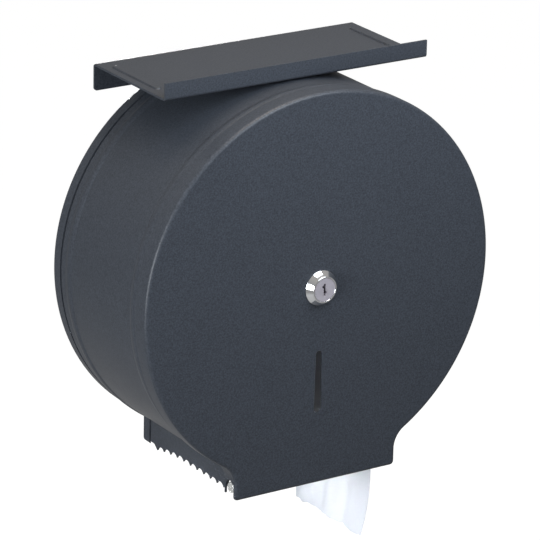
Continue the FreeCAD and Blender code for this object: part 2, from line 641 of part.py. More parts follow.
def lock_plug():
    """The part that the key turns, with a square tail that carries the cam."""
    half = CAM_SQUARE / 2
    plug = cylinder(PLUG_HEAD_RADIUS, PLUG_SHOULDER, PLUG_FACE)
    plug = plug.fuse(cylinder(PLUG_RADIUS, BARREL_END, PLUG_SHOULDER))
    plug = plug.fuse(cylinder(STEM_RADIUS, CAM_FRONT, BARREL_END))
    plug = plug.fuse(block(-half, half, CAM_DEPTH, CAM_FRONT, -half, half))
    bottom = PLUG_FACE - KEYWAY_DEPTH
    above = PLUG_FACE + OVERRUN
    side = KEYWAY_WIDTH / 2
    slot = block(-side, side, bottom, above, -KEYWAY_HEIGHT / 2, KEYWAY_HEIGHT / 2)
    upper = block(-side - KEYWAY_WARD, side, bottom, above, KEYWAY_HEIGHT / 8, KEYWAY_HEIGHT / 3)
    lower = block(-side, side + KEYWAY_WARD, bottom, above, -KEYWAY_HEIGHT / 3, -KEYWAY_HEIGHT / 8)
    hole = cylinder(CAM_SCREW_RADIUS + FIT_GAP, CAM_DEPTH - OVERRUN,
                    CAM_WASHER_BACK + CAM_SCREW_LENGTH + FIT_GAP)
    return plug.cut(slot.fuse(upper).fuse(lower)).cut(hole)


def lock_washer():
    return tube(WASHER_RADIUS, BARREL_RADIUS + FIT_GAP, PANEL_INSIDE - WASHER_SHEET, PANEL_INSIDE)


def lock_nut():
    front = PANEL_INSIDE - WASHER_SHEET
    rear = front - NUT_HEIGHT
    reach = NUT_FLAT / math.cos(math.pi / 6)
    corners = [at(reach * math.cos(turn * math.pi / 3), rear, reach * math.sin(turn * math.pi / 3))
               for turn in range(6)]
    nut = Part.Face(Part.makePolygon(corners + corners[:1])).extrude(at(0, NUT_HEIGHT, 0))
    return nut.cut(cylinder(BARREL_RADIUS + FIT_GAP, rear - OVERRUN, front + OVERRUN))


def lock_cam():
    """Points to -X when the cover is free, and up behind the strike plate when locked."""
    half = CAM_WIDTH / 2
    corners = [(at(-CAM_REACH, CAM_DEPTH, -half), CAM_ROUND), (at(0, CAM_DEPTH, -half), 0),
               (at(0, CAM_DEPTH, half), 0), (at(-CAM_REACH, CAM_DEPTH, half), CAM_ROUND)]
    cam = cylinder(CAM_HUB_RADIUS, CAM_DEPTH, CAM_FRONT).fuse(plate(corners, at(0, CAM_SHEET, 0)))
    hole = CAM_SQUARE / 2 + FIT_GAP
    return cam.cut(block(-hole, hole, CAM_DEPTH - OVERRUN, CAM_FRONT + OVERRUN, -hole, hole))


def cam_washer():
    return tube(CAM_WASHER_RADIUS, CAM_SCREW_RADIUS + FIT_GAP, CAM_WASHER_BACK, CAM_DEPTH)


def cam_screw():
    head = cylinder(CAM_SCREW_HEAD_RADIUS, CAM_WASHER_BACK - CAM_SCREW_HEAD_HEIGHT, CAM_WASHER_BACK)
    shank = cylinder(CAM_SCREW_RADIUS, CAM_WASHER_BACK, CAM_WASHER_BACK + CAM_SCREW_LENGTH)
    return head.fuse(shank)


def core_sleeve():
    """Plastic sleeve on the spindle, with outside ribs that grip the core and a rear flange."""
    bore = SPINDLE_RADIUS + SLEEVE_GAP
    crest = CORE_RADIUS - PAPER_GAP
    front = SPINDLE_END - SLEEVE_SETBACK
    sleeve = cylinder(bore + SLEEVE_SHEET, PAPER_REAR, front)
    rib = block(0, crest, PAPER_REAR, front, -SLEEVE_RIB_WIDTH / 2, SLEEVE_RIB_WIDTH / 2)
    for index in range(SLEEVE_RIBS):
        turned_rib = rib.copy()
        turned_rib.rotate(Vector(0, 0, 0), Vector(0, 1, 0), 360 * index / SLEEVE_RIBS)
        sleeve = sleeve.fuse(turned_rib)
    sleeve = sleeve.common(cylinder(crest, PAPER_REAR, front))
    flange = cylinder(SLEEVE_FLANGE_RADIUS, PAPER_REAR - SLEEVE_FLANGE_SHEET, PAPER_REAR)
    return sleeve.fuse(flange).cut(cylinder(bore, 0, front + OVERRUN))


def roll_core():
    return tube(CORE_RADIUS + CORE_SHEET, CORE_RADIUS, PAPER_REAR, PAPER_FRONT)


def paper_roll():
    return tube(PAPER_RADIUS, CORE_RADIUS + CORE_SHEET + PAPER_GAP, PAPER_REAR, PAPER_FRONT)


def tail_section(near, height, front, fold):
    """Cross-section of the hanging sheet: equal arcs that bulge to either side in turn."""
    width = (front - PAPER_REAR) / TAIL_FOLDS
    edges = []
    for x in (near, near + TAIL_SHEET):
        for index in range(TAIL_FOLDS):
            start = PAPER_REAR + index * width
            bulge = fold if index % 2 else -fold
            edges.append(arc(at(x, start, height), at(x + bulge, start + width / 2, height),
                             at(x, start + width, height)))
    for depth in (PAPER_REAR, front):
        edges.append(line(at(near, depth, height), at(near + TAIL_SHEET, depth, height)))
    return Part.Wire(Part.__sortEdges__(edges))


def paper_tail():
    """Hangs from the right-hand side of the roll, through the neck and below it."""
    side = PAPER_RADIUS + TAIL_GAP
    sections = []
    for drop, run_in in TAIL_SHAPE:
        fold = TAIL_TOP_FOLD + (TAIL_FOLD - TAIL_TOP_FOLD) * drop / TAIL_SHAPE[-1][0]
        sections.append(tail_section(side + fold, -drop, PAPER_FRONT - run_in, fold))
    return Part.makeLoft(sections, True, True)


def main():
    nodes = {
        "back_plate": back_plate(), "shelf": shelf(), "shelf_rivets": shelf_rivets(),
        "spindle_foot": spindle_foot(),
        "spindle_tube": tube(SPINDLE_RADIUS, SPINDLE_BORE, SPINDLE_FOOT_FRONT, SPINDLE_END),
        "spindle_rivets": spindle_rivets(), "strike_plate": strike_plate(), "hinge_rod": hinge_rod(),
        "paper_tail": paper_tail(),
        "front_panel": front_panel(), "drum_wall": drum_wall(), "guide_rod": guide_rod(),
        "hinge_bracket_right": hinge_bracket(), "hinge_bracket_left": mirrored(hinge_bracket()),
        "lock_housing": lock_housing(), "lock_washer": lock_washer(), "lock_nut": lock_nut(),
        "lock_plug": lock_plug(), "lock_cam": lock_cam(), "cam_washer": cam_washer(),
        "cam_screw": cam_screw(),
        "core_sleeve": core_sleeve(), "roll_core": roll_core(), "paper_roll": paper_roll(),
    }
    os.makedirs("parts", exist_ok=True)
    for name, shape in nodes.items():
        shape = one_shape(shape)
        shape.exportStep(f"parts/{name}.step")
        print(f"{name}: solids {len(shape.Solids)}, valid {shape.isValid()}, "
              f"volume {shape.Volume / 1000:.2f} cm3")


main()
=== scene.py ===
import json
import math

import bmesh
import bpy
import numpy as np
from bpy.props import FloatProperty, FloatVectorProperty, IntProperty, PointerProperty
from mathutils import Matrix, Vector


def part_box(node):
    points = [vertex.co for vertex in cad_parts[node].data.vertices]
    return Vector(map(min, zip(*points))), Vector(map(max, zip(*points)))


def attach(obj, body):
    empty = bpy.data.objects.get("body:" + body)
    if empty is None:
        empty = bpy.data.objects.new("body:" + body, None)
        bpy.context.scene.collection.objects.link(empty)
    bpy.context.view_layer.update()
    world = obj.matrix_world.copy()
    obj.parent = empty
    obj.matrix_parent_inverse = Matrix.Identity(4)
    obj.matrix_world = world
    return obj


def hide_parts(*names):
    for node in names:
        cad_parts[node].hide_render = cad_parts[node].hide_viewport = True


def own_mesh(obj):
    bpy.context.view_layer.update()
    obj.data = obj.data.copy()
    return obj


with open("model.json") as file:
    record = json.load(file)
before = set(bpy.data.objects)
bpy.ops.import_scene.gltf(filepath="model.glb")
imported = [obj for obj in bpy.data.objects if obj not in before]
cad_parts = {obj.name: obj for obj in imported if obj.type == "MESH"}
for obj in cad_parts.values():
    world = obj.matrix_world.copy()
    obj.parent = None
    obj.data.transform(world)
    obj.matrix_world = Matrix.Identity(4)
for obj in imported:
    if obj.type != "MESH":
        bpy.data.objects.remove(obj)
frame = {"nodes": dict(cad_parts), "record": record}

bl_info = {
    "name": "Jumbo roll dispenser",
    "version": (1, 0, 0),
    "blender": (4, 5, 0),
    "location": "View3D > Sidebar > Dispenser",
    "description": "Builds the looks of a wall-mounted jumbo roll dispenser around its packed frame",
    "category": "Object",
}

# The drum's axis is the Y axis, and a depth is a distance from the wall, so y is minus the depth.
PANEL_LOW, PANEL_HIGH = (np.array(corner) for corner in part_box("front_panel"))
WALL_LOW, WALL_HIGH = (np.array(corner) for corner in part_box("drum_wall"))
SHELF_LOW, SHELF_HIGH = (np.array(corner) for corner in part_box("shelf"))
GUIDE_LOW, GUIDE_HIGH = (np.array(corner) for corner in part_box("guide_rod"))
LOCK_LOW, LOCK_HIGH = (np.array(corner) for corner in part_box("lock_housing"))
ROLL_LOW, ROLL_HIGH = (np.array(corner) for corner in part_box("paper_roll"))
TAIL_LOW, TAIL_HIGH = (np.array(corner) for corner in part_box("paper_tail"))
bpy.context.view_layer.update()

ROUND_STEPS = 200                # straight runs that make up the drum's whole round
BLEND_STEPS = 9                  # points along the panel's inside corner
BEND_STEPS = 9                   # points across the bend round the panel's face
FOLD_STEPS = 7                   # points round a bend of the shelf
FACE_MARGIN = 0.0005             # from that bend in to the outer loop of the flat face
FACE_SPLIT = -0.026              # height of the level line between the lock's and the slot's flat rings
NOTCH_MARGIN = 0.0003            # from the rod's notch up to where the inside corner may end
HOLE_PLAY = 5e-5                 # between the lock's barrel and its hole
RUN_IN_SHARE = 0.26              # last share of the sheet's length, over which its front edge runs back
SLIVER = 2e-5                    # the width that stands for a sudden step on a grid
WELD = 2e-6                      # points nearer than this become one

SEE_THROUGH = 0.22               # how much of the hanging sheet's light comes through it
GLOSS_SHARE = 0.22               # how much of the white surroundings shows in gloss
FLOOR_HALF = 9.0                 # half the floor's width
FLOOR_GLOW = 1.09                # strength of the light that makes the floor look white
FLOOR_GLOW_SHARE = 0.9           # how much of what is seen of the floor is that light
FLOOR_BOUNCE = 0.06              # how much of the floor's colour lights the object
SCREEN_EDGE = 0.8                # upward part of a direction from which the ceiling screen is full
SCREEN_LOW = 0.06                # brightness of the surroundings at and below the horizon
SCREEN_HIGH = 1.6                # and of the ceiling screen
COOL_WHITE = (0.92, 0.96, 1.0, 1.0)
WARM_WHITE = (1.0, 0.93, 0.84, 1.0)
WHITE = (1.0, 1.0, 1.0, 1.0)
LAMPS = {
    "key": {"place": (0.10, -0.50, 0.46), "aim": (0.0, -0.12, 0.08), "side": 0.45,
            "tint": (0.86, 0.93, 1.0)},
    "left": {"place": (-1.05, -0.46, 0.08), "aim": (-0.10, -0.06, 0.0), "side": 0.5,
             "tint": (0.93, 0.97, 1.0)},
    "top": {"place": (0.0, -0.05, 1.10), "aim": (0.0, -0.06, 0.1), "side": 0.6,
            "tint": (1.0, 0.86, 0.70)},
    "back": {"place": (0.60, 1.30, -0.03), "aim": (0.0, 0.0, -0.03), "side": 0.26,
             "tint": (1.0, 1.0, 1.0)},
    "low": {"place": (-0.45, -0.11, -0.168), "aim": (0.053, -0.06, -0.168), "side": 0.06,
            "tint": (0.97, 0.98, 1.0), "spread": 14.0},
}


def length(name, description, default):
    """A size in metres for the sidebar."""
    return FloatProperty(name=name, description=description, default=default, unit="LENGTH",
                         subtype="DISTANCE", precision=5)


def colour(name, description, default):
    """A colour for the sidebar."""
    return FloatVectorProperty(name=name, description=description, default=default,
                               subtype="COLOR", min=0, max=1)


class HousingSizes(bpy.types.PropertyGroup):
    """Sizes of the cover: front panel, drum wall and guide rod"""
    sheet: length("Sheet", "Thickness of the cover's sheet steel", 0.0012)
    panel_radius: length("Panel radius", "Radius of the front panel", float(PANEL_HIGH[2]))
    panel_depth: length("Panel depth", "From the wall to the panel's face", float(-PANEL_LOW[1]))
    skirt_edge: length("Skirt edge", "Depth of the skirt's rear edge", float(-PANEL_HIGH[1]))
    neck_half: length("Neck half width", "Half the width of the neck", 0.0632)
    neck_bottom: length("Neck drop", "Drop of the panel's lower edge", float(-PANEL_LOW[2]))
    skirt_trim: length("Skirt trim", "From the panel's lower edge up to the skirt's end", 0.0026)
    neck_blend: length("Neck blend", "Inside corner from drum to neck", 0.016)
    neck_corner: length("Neck corner", "Outside corner at the neck's bottom", 0.003)
    edge_bend: length("Edge bend", "Outside radius of the bend round the face", 0.0024)
    weld_gap: length("Weld gap", "Between the drum wall and the panel's skirt", 0.0002)
    wall_bend: length("Wall bend", "Bend from the round wall into the neck", 0.004)
    bead_height: length("Bead height", "How far the two beads stand out", 0.0008)
    rear_bead: length("Rear bead", "From the wall's rear edge to its bead", 0.0095)
    rear_bead_width: length("Rear bead width", "Width of the rear bead", 0.007)
    front_bead: length("Front bead", "From the skirt's edge back to the front bead", 0.0045)
    front_bead_width: length("Front bead width", "Width of the front bead", 0.008)
    bead_fade: length("Bead fade", "Length over which the beads sink towards the neck", 0.006)
    slot_top: length("Slot top", "Drop of the viewing slot's upper end", 0.0438)
    slot_bottom: length("Slot bottom", "Drop of the viewing slot's lower end", 0.0876)
    slot_top_radius: length("Slot top radius", "Radius of the slot's upper end", 0.0024)
    slot_bottom_radius: length("Slot bottom radius", "Radius of the slot's lower end", 0.0031)


class ToothSizes(bpy.types.PropertyGroup):
    """Sizes of the serrated lower edge and of the guide rod's notch"""
    plain_rise: length("Plain rise", "From the panel's lower edge up to the plain stretch behind", 0.0035)
    tip_rise: length("Tip rise", "From the panel's lower edge up to the tips", 0.004)
    sag: length("Sag", "How much lower the rearmost tip hangs", 0.004)
    sag_length: length("Sag length", "From the rearmost tip to where the sag ends", 0.036)
    height: length("Tooth height", "From a tip up to the hollow beside it", 0.0028)
    pitch: length("Tooth pitch", "From tip to tip", 0.0084)
    start: length("First tip", "Depth of the first tip", 0.0214)
    ramp: length("Ramp", "Slope from the plain stretch to the first tip", 0.004)
    count: IntProperty(name="Hollows", description="Hollows between the tips", default=10, min=1)
    notch_radius: length("Notch radius", "Radius of the rod's notch", 0.0048)
    notch_setback: length("Notch setback", "From the face back to the notch's middle", 0.007)
    notch_rise: length("Notch rise", "From the lower edge up to the notch's middle", 0.0083)


class ShelfSizes(bpy.types.PropertyGroup):
    """Sizes of the bent shelf"""
    sheet: length("Sheet", "Thickness of the shelf's sheet", 0.0015)
    bend: length("Bend", "Inside radius of its bends", 0.0007)
    lip: length("Lip", "Height of the front lip above the tray", 0.0104)
    corner: length("Corner", "Corners of the rear flange", 0.002)
    rib_height: length("Rib height", "How far a rib stands up", 0.0011)
    rib_width: length("Rib width", "Width of a rib", 0.006)
    rib_flank: length("Rib flank", "Width of the slope along a rib's edge", 0.0010)
    rib_inset: length("Rib inset", "From the shelf's end to the rib's middle", 0.008)
    rib_rear: length("Rib rear", "Depth of a rib's rear end", 0.013)
    rib_front: length("Rib front", "Depth of a rib's front end", 0.070)


class LockSizes(bpy.types.PropertyGroup):
    """Sizes of the cam lock's bright housing"""
    rim: length("Rim", "Height of the bezel's rim", 0.0007)
    front_radius: length("Front radius", "Radius at the bezel's front", 0.0092)
    edge: length("Edge", "Rounding of the bezel's front edge", 0.0005)
    head_hole: length("Head hole", "Radius of the recess for the plug's head", 0.0080)
    head_depth: length("Head depth", "Depth of that recess", 0.00235)
    bore: length("Bore", "Radius of the plug's bore", 0.0061)
    barrel_radius: length("Barrel radius", "Radius of the threaded barrel", 0.009)
    barrel_flat: length("Barrel flat", "Half the width across the barrel's flats", 0.008)
    thread_pitch: length("Thread pitch", "Pitch of the barrel's thread", 0.001)
    thread_depth: length("Thread depth", "Depth of the barrel's thread", 0.0004)


class PaperSizes(bpy.types.PropertyGroup):
    """Sizes of the roll and of the sheet that hangs out"""
    roll_edge: length("Roll edge", "Rounding of the roll's outer edges", 0.0012)
    core_radius: length("Core radius", "Inside radius of the paper on its core", 0.0301)
    front: length("Front", "Depth of the sheet's front edge at the roll", 0.106)
    run_in: length("Run in", "How far the front edge runs back at the sheet's end", 0.010)
    rear: length("Rear", "Depth of the sheet's rear edge", 0.016)
    sheet: length("Sheet", "Thickness of the hanging sheet", 0.00025)
    fold: length("Fold", "How far the folds bulge at the sheet's end", 0.00112)
    folds: IntProperty(name="Folds", description="Bulges across the sheet", default=5, min=1)
    torn: length("Torn edge", "Height of the teeth along the torn end", 0.0006)


class FinishColours(bpy.types.PropertyGroup):
    """Colours of the finishes"""
    coat: colour("Powder coat", "Slate grey powder coat", (0.037, 0.042, 0.052))
    chrome: colour("Chrome", "Polished plate on the lock housing", (0.86, 0.87, 0.89))
    # Plug colour: partly the satin plate, partly painted reflection, whose lilac-grey brightness stands in
    # for the white surroundings mirrored in the metal
    plug: colour("Plug", "Satin plate on the lock's plug", (0.42, 0.39, 0.43))
    bright: colour("Bright steel", "Drawn bar, washers, nut and cam", (0.70, 0.70, 0.68))
    zinc: colour("Zinc", "Plated rivets", (0.52, 0.53, 0.54))
    plastic: colour("Plastic", "Moulded sleeve", (0.16, 0.165, 0.17))
    board: colour("Board", "Cardboard core", (0.36, 0.26, 0.17))
    tissue: colour("Tissue", "Paper of the roll and of the sheet", (0.86, 0.885, 0.93))
    floor: colour("Floor", "Pale studio floor", (0.82, 0.82, 0.82))


class StageSettings(bpy.types.PropertyGroup):
    """Camera, lamps and floor"""
    azimuth: FloatProperty(name="Azimuth", description="Camera's turn round the object", unit="ROTATION",
                           subtype="ANGLE", default=math.radians(-33.107))
    elevation: FloatProperty(name="Elevation", description="Camera's height above the horizon",
                             unit="ROTATION", subtype="ANGLE", default=math.radians(19.954))
    roll: FloatProperty(name="Roll", description="Camera's turn about its own axis", unit="ROTATION",
                        subtype="ANGLE", default=math.radians(1.23))
    distance: length("Distance", "From the camera to the point it looks at", 2.6038)
    lens: FloatProperty(name="Lens", description="Focal length on a 36 mm sensor, in mm", default=254.02)
    target: FloatVectorProperty(name="Target", description="The point it looks at", unit="LENGTH",
                                subtype="XYZ", default=(0.0398, 0.0, -0.0335))
    floor_drop: length("Floor drop", "How far the floor lies below the object's axis", 0.62)
    world: FloatProperty(name="Surroundings", description="Light from all round", default=0.15, min=0)
    key: FloatProperty(name="Key", description="Power of the soft lamp above the front, in W", default=5.0)
    left: FloatProperty(name="Left", description="Power of the soft lamp on the left, in W", default=13.0)
    back: FloatProperty(name="Back", description="Power of the soft lamp behind, in W", default=14.0)
    top: FloatProperty(name="Top", description="Power of the soft lamp overhead, in W", default=9.3)
    low: FloatProperty(name="Low lamp", description="Power of the small lamp that lights the sheet, in W",
                       default=0.013)


# Meshes


def grid_quads(rows, columns, close_rows=False, close_columns=False):
    """Four-sided faces between neighbours of a grid numbered row by row, closed round where asked."""
    row = np.arange(rows if close_rows else rows - 1)[:, None]
    column = np.arange(columns if close_columns else columns - 1)[None, :]
    next_row = (row + 1) % rows
    next_column = (column + 1) % columns
    quads = np.stack([row * columns + column, row * columns + next_column,
                      next_row * columns + next_column, next_row * columns + column], axis=-1)
    return quads.reshape(-1, 4)


def surface(points, flip=False, close_rows=False, close_columns=False):
    """Points of a grid as a flat list, with the faces between them."""
    rows, columns = points.shape[:2]
    quads = grid_quads(rows, columns, close_rows, close_columns)
    return points.reshape(-1, 3), quads[:, ::-1] if flip else quads


def joined(*surfaces):
    """Several surfaces as one: each one's faces are numbered on from the points before it."""
    points = np.concatenate([part[0] for part in surfaces])
    starts = np.cumsum([0] + [len(part[0]) for part in surfaces[:-1]])
    quads = np.concatenate([part[1] + start for part, start in zip(surfaces, starts)])
    return points, quads


def placed(x, depth, z):
    """Points of a grid from across, depth and height, which may have fewer axes than the grid."""
    return np.stack(np.broadcast_arrays(x, -np.asarray(depth), z), axis=-1)


def make_piece(name, shape, finish, body, nodes, thickness=0.0, crease=30.0, closed=False):
    """A piece from a surface, smooth up to the crease angle. A sheet gets its thickness behind its outer
    face, and a closed body has its faces turned outwards."""
    mesh = bpy.data.meshes.new(name)
    mesh.from_pydata(shape[0].tolist(), [], shape[1].tolist())
    work = bmesh.new()
    work.from_mesh(mesh)
    bmesh.ops.remove_doubles(work, verts=work.verts, dist=WELD)
    bmesh.ops.dissolve_degenerate(work, edges=work.edges, dist=WELD / 2)
    if closed:
        bmesh.ops.recalc_face_normals(work, faces=work.faces)
    work.to_mesh(mesh)
    work.free()
    made = bpy.data.objects.new(name, mesh)
    bpy.context.scene.collection.objects.link(made)
    if thickness:
        wall = made.modifiers.new("thickness", "SOLIDIFY")
        wall.thickness = thickness
        wall.offset = -1
        wall.use_even_offset = True
        graph = bpy.context.evaluated_depsgraph_get()
        made.data = bpy.data.meshes.new_from_object(made.evaluated_get(graph))
        made.modifiers.clear()
    made.data.shade_smooth()
    made.data.set_sharp_from_angle(angle=math.radians(crease))
    made.data.materials.clear()
    made.data.materials.append(finish)
    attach(made, body)
    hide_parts(*nodes)
    return made


def full_turn(steps):
    """Even angles once round, as one row of a grid."""
    return np.linspace(0, 2 * math.pi, steps, endpoint=False)[None, :]


def turned(radius, depth, turn):
    """A closed profile turned about the drum's axis, by its radius at each place along it and angle:
    x = radius cos(turn), z = radius sin(turn)."""
    return surface(placed(radius * np.cos(turn), depth, radius * np.sin(turn)), close_rows=True,
                   close_columns=True)


def eased(share):
    """A share from 0 to 1 that starts and ends level: 3 s squared - 2 s cubed."""
    return share * share * (3 - 2 * share)


def corner_arc(centre, radius, start, end, steps=6):
    """Points of an arc, by its centre and its angles in degrees."""
    turn = np.radians(np.linspace(start, end, steps))
    return np.stack([centre[0] + radius * np.cos(turn), centre[1] + radius * np.sin(turn)], axis=-1)


# Outlines


class Outline:
    """A circle that opens at the bottom into a straight-sided neck, as points with outward normals.

    The right half runs from the top, down the round, through the concave blend and down the neck's
    wall. Each stretch is its formula: centre plus radius times (cos, sin) on the arcs, and a constant
    x on the wall. The left half is its mirror image."""

    def __init__(self, radius, neck, blend):
        self.radius = radius
        self.neck = neck
        self.blend = blend
        self.blend_x = neck + blend
        self.blend_z = -math.sqrt((radius + blend) ** 2 - self.blend_x ** 2)
        self.crease_turn = math.atan2(self.blend_z, self.blend_x)

    def round_part(self, turns):
        """Points and normals on the drum, by their angles."""
        normal = np.stack([np.cos(turns), np.sin(turns)], axis=-1)
        return self.radius * normal, normal

    def blend_part(self, steps, lowest=-1.0):
        """Points and normals round the inside corner, whose normals point to its centre. It stops at
        its foot, or at the lowest height if that is above the foot."""
        last = math.pi - math.asin(max(lowest - self.blend_z, 0.0) / self.blend)
        turns = np.linspace(self.crease_turn + math.pi, last, steps)
        away = np.stack([np.cos(turns), np.sin(turns)], axis=-1)
        return np.array([self.blend_x, self.blend_z]) + self.blend * away, -away

    def wall_part(self, heights):
        """Points and normals down the neck's wall."""
        across = np.full_like(heights, self.neck)
        return np.stack([across, heights], axis=-1), np.tile([1.0, 0.0], (len(heights), 1))


def mirrored_loop(points, normals):
    """The right half, then the left half back to the top, as one closed loop."""
    flip = np.array([-1.0, 1.0])
    return (np.concatenate([points, (points * flip)[-2:0:-1]]),
            np.concatenate([normals, (normals * flip)[-2:0:-1]]))


# Finishes


def node(tree, kind, settings=None, **inputs):
    """Adds a node. Inputs are values, or the sockets that feed them; an underscore stands for a space."""
    made = tree.nodes.new(kind)
    for key, value in (settings or {}).items():
        setattr(made, key, value)
    for key, value in inputs.items():
        feed(tree, made.inputs[key.replace("_", " ")], value)
    return made


def feed(tree, socket, value):
    """Links a socket into another, or sets its value."""
    if isinstance(value, bpy.types.NodeSocket):
        tree.links.new(value, socket)
    else:
        socket.default_value = value


def maths(tree, operation, *values):
    """The result of a Math node."""
    made = tree.nodes.new("ShaderNodeMath")
    made.operation = operation
    for socket, value in zip(made.inputs, values):
        feed(tree, socket, value)
    return made.outputs[0]


def mixed(tree, factor, first, second):
    """A colour between two colours."""
    made = tree.nodes.new("ShaderNodeMix")
    made.data_type = "RGBA"
    feed(tree, made.inputs[0], factor)
    feed(tree, made.inputs[6], first)
    feed(tree, made.inputs[7], second)
    return made.outputs[2]


def ranged(tree, value, low, high):
    """A value between 0 and 1 spread from low to high."""
    made = node(tree, "ShaderNodeMapRange", Value=value, To_Min=low, To_Max=high)
    return made.outputs[0]


def finish(name):
    """A new material with its tree, its shader and the place on the object that its patterns read."""
    material = bpy.data.materials.new(name)
    material.use_nodes = True
    tree = material.node_tree
    place = tree.nodes.new("ShaderNodeTexCoord").outputs["Object"]
    return material, tree, tree.nodes["Principled BSDF"], place


def shade(colour, amount):
    """A colour made lighter or darker, with full alpha."""
    return (*[min(1.0, part * amount) for part in colour], 1.0)


def grain(tree, place, scale, detail=3.0, rough=0.6):
    """Even noise over the object, from 0 to 1."""
    return node(tree, "ShaderNodeTexNoise", Vector=place, Scale=scale, Detail=detail,
                Roughness=rough).outputs["Fac"]


def bumped(tree, shader, height, strength, distance):
    """Gives a surface fine relief from a height, and returns the normals that it gets."""
    bump = node(tree, "ShaderNodeBump", Strength=strength, Distance=distance, Height=height)
    feed(tree, shader.inputs["Normal"], bump.outputs[0])
    return bump.outputs[0]


def mix_shaders(tree, share, first, second):
    """Gives the material the first shader, mixed with a share of the second."""
    both = node(tree, "ShaderNodeMixShader")
    feed(tree, both.inputs[0], share)
    feed(tree, both.inputs[1], first.outputs[0])
    feed(tree, both.inputs[2], second.outputs[0])
    feed(tree, tree.nodes["Material Output"].inputs["Surface"], both.outputs[0])


def axis_distance(tree, place):
    """How far a place is from the drum's axis: the root of (x squared + z squared)."""
    parts = node(tree, "ShaderNodeSeparateXYZ", Vector=place)
    squares = [maths(tree, "MULTIPLY", parts.outputs[key], parts.outputs[key]) for key in ("X", "Z")]
    return maths(tree, "SQRT", maths(tree, "ADD", *squares))


def powder_coat():
    """Dark slate powder coat: fine grain in colour and height, with faint uneven patches."""
    material, tree, shader, place = finish("powder_coat")
    base = bpy.context.scene.dispenser_colours.coat
    fine = grain(tree, place, 900.0, 3.0)
    patches = grain(tree, place, 22.0, 3.0)
    speckled = mixed(tree, ranged(tree, fine, -0.9, 1.9), shade(base, 0.66), shade(base, 1.42))
    feed(tree, shader.inputs["Base Color"],
         mixed(tree, ranged(tree, patches, 0.0, 0.16), speckled, shade(base, 1.6)))
    feed(tree, shader.inputs["Roughness"], ranged(tree, patches, 0.34, 0.44))
    shader.inputs["Specular IOR Level"].default_value = 0.25
    orange_peel = maths(tree, "ADD", fine, maths(tree, "MULTIPLY", grain(tree, place, 420.0), 0.7))
    bumped(tree, shader, height=orange_peel, strength=0.4, distance=0.00012)
    return material


def polished_chrome():
    """Bright plate with faint polishing marks."""
    material, tree, shader, place = finish("lock_chrome")
    marks = grain(tree, place, 700.0, 4.0)
    shader.inputs["Base Color"].default_value = shade(bpy.context.scene.dispenser_colours.chrome, 1.0)
    shader.inputs["Metallic"].default_value = 1.0
    feed(tree, shader.inputs["Roughness"], ranged(tree, marks, 0.05, 0.13))
    bumped(tree, shader, height=marks, strength=0.05, distance=0.00003)
    return material


def turned_metal(name, base, roughness, rings, metallic=1.0):
    """Metal with fine rings about the drum's axis, as a lathe leaves them, and faint stains."""
    material, tree, shader, place = finish(name)
    ring = maths(tree, "SINE", maths(tree, "MULTIPLY", axis_distance(tree, place), rings))
    stain = grain(tree, place, 160.0)
    lines = maths(tree, "ADD", maths(tree, "MULTIPLY", ring, 0.5), grain(tree, place, 2600.0))
    feed(tree, shader.inputs["Base Color"], mixed(tree, stain, shade(base, 0.82), shade(base, 1.14)))
    shader.inputs["Metallic"].default_value = metallic
    feed(tree, shader.inputs["Roughness"], ranged(tree, stain, roughness - 0.05, roughness + 0.08))
    bumped(tree, shader, height=lines, strength=0.12, distance=0.00004)
    return material


def drawn_steel():
    """Bright drawn bar: long marks along X, with the odd darker streak."""
    material, tree, shader, place = finish("bright_steel")
    base = bpy.context.scene.dispenser_colours.bright
    along = node(tree, "ShaderNodeMapping", Vector=place, Scale=(40.0, 900.0, 900.0))
    marks = grain(tree, along.outputs[0], 1.0, 4.0)
    feed(tree, shader.inputs["Base Color"], mixed(tree, marks, shade(base, 0.85), shade(base, 1.2)))
    shader.inputs["Metallic"].default_value = 0.6
    feed(tree, shader.inputs["Roughness"], ranged(tree, marks, 0.20, 0.34))
    bumped(tree, shader, height=marks, strength=0.15, distance=0.00003)
    return material


def moulded_plastic():
    """Matte moulded plastic with a fine spark-eroded grain."""
    material, tree, shader, place = finish("grey_plastic")
    base = bpy.context.scene.dispenser_colours.plastic
    pits = grain(tree, place, 1900.0, 2.0)
    feed(tree, shader.inputs["Base Color"],
         mixed(tree, grain(tree, place, 60.0), shade(base, 0.9), shade(base, 1.12)))
    feed(tree, shader.inputs["Roughness"], ranged(tree, pits, 0.48, 0.66))
    bumped(tree, shader, height=pits, strength=0.2, distance=0.00006)
    return material


def wound_board():
    """Grey-brown cardboard with fibres and the seam of its spiral winding."""
    material, tree, shader, place = finish("cardboard")
    base = bpy.context.scene.dispenser_colours.board
    parts = node(tree, "ShaderNodeSeparateXYZ", Vector=place)
    turn = maths(tree, "ARCTAN2", parts.outputs["Z"], parts.outputs["X"])
    spiral = maths(tree, "ADD", turn, maths(tree, "MULTIPLY", parts.outputs["Y"], 70.0))
    seam = maths(tree, "GREATER_THAN", maths(tree, "SINE", spiral), 0.985)
    fibres = grain(tree, place, 900.0, 6.0)
    board = mixed(tree, fibres, shade(base, 0.7), shade(base, 1.25))
    feed(tree, shader.inputs["Base Color"], mixed(tree, seam, board, shade(base, 0.5)))
    shader.inputs["Roughness"].default_value = 0.9
    bumped(tree, shader, height=fibres, strength=0.4, distance=0.00012)
    return material


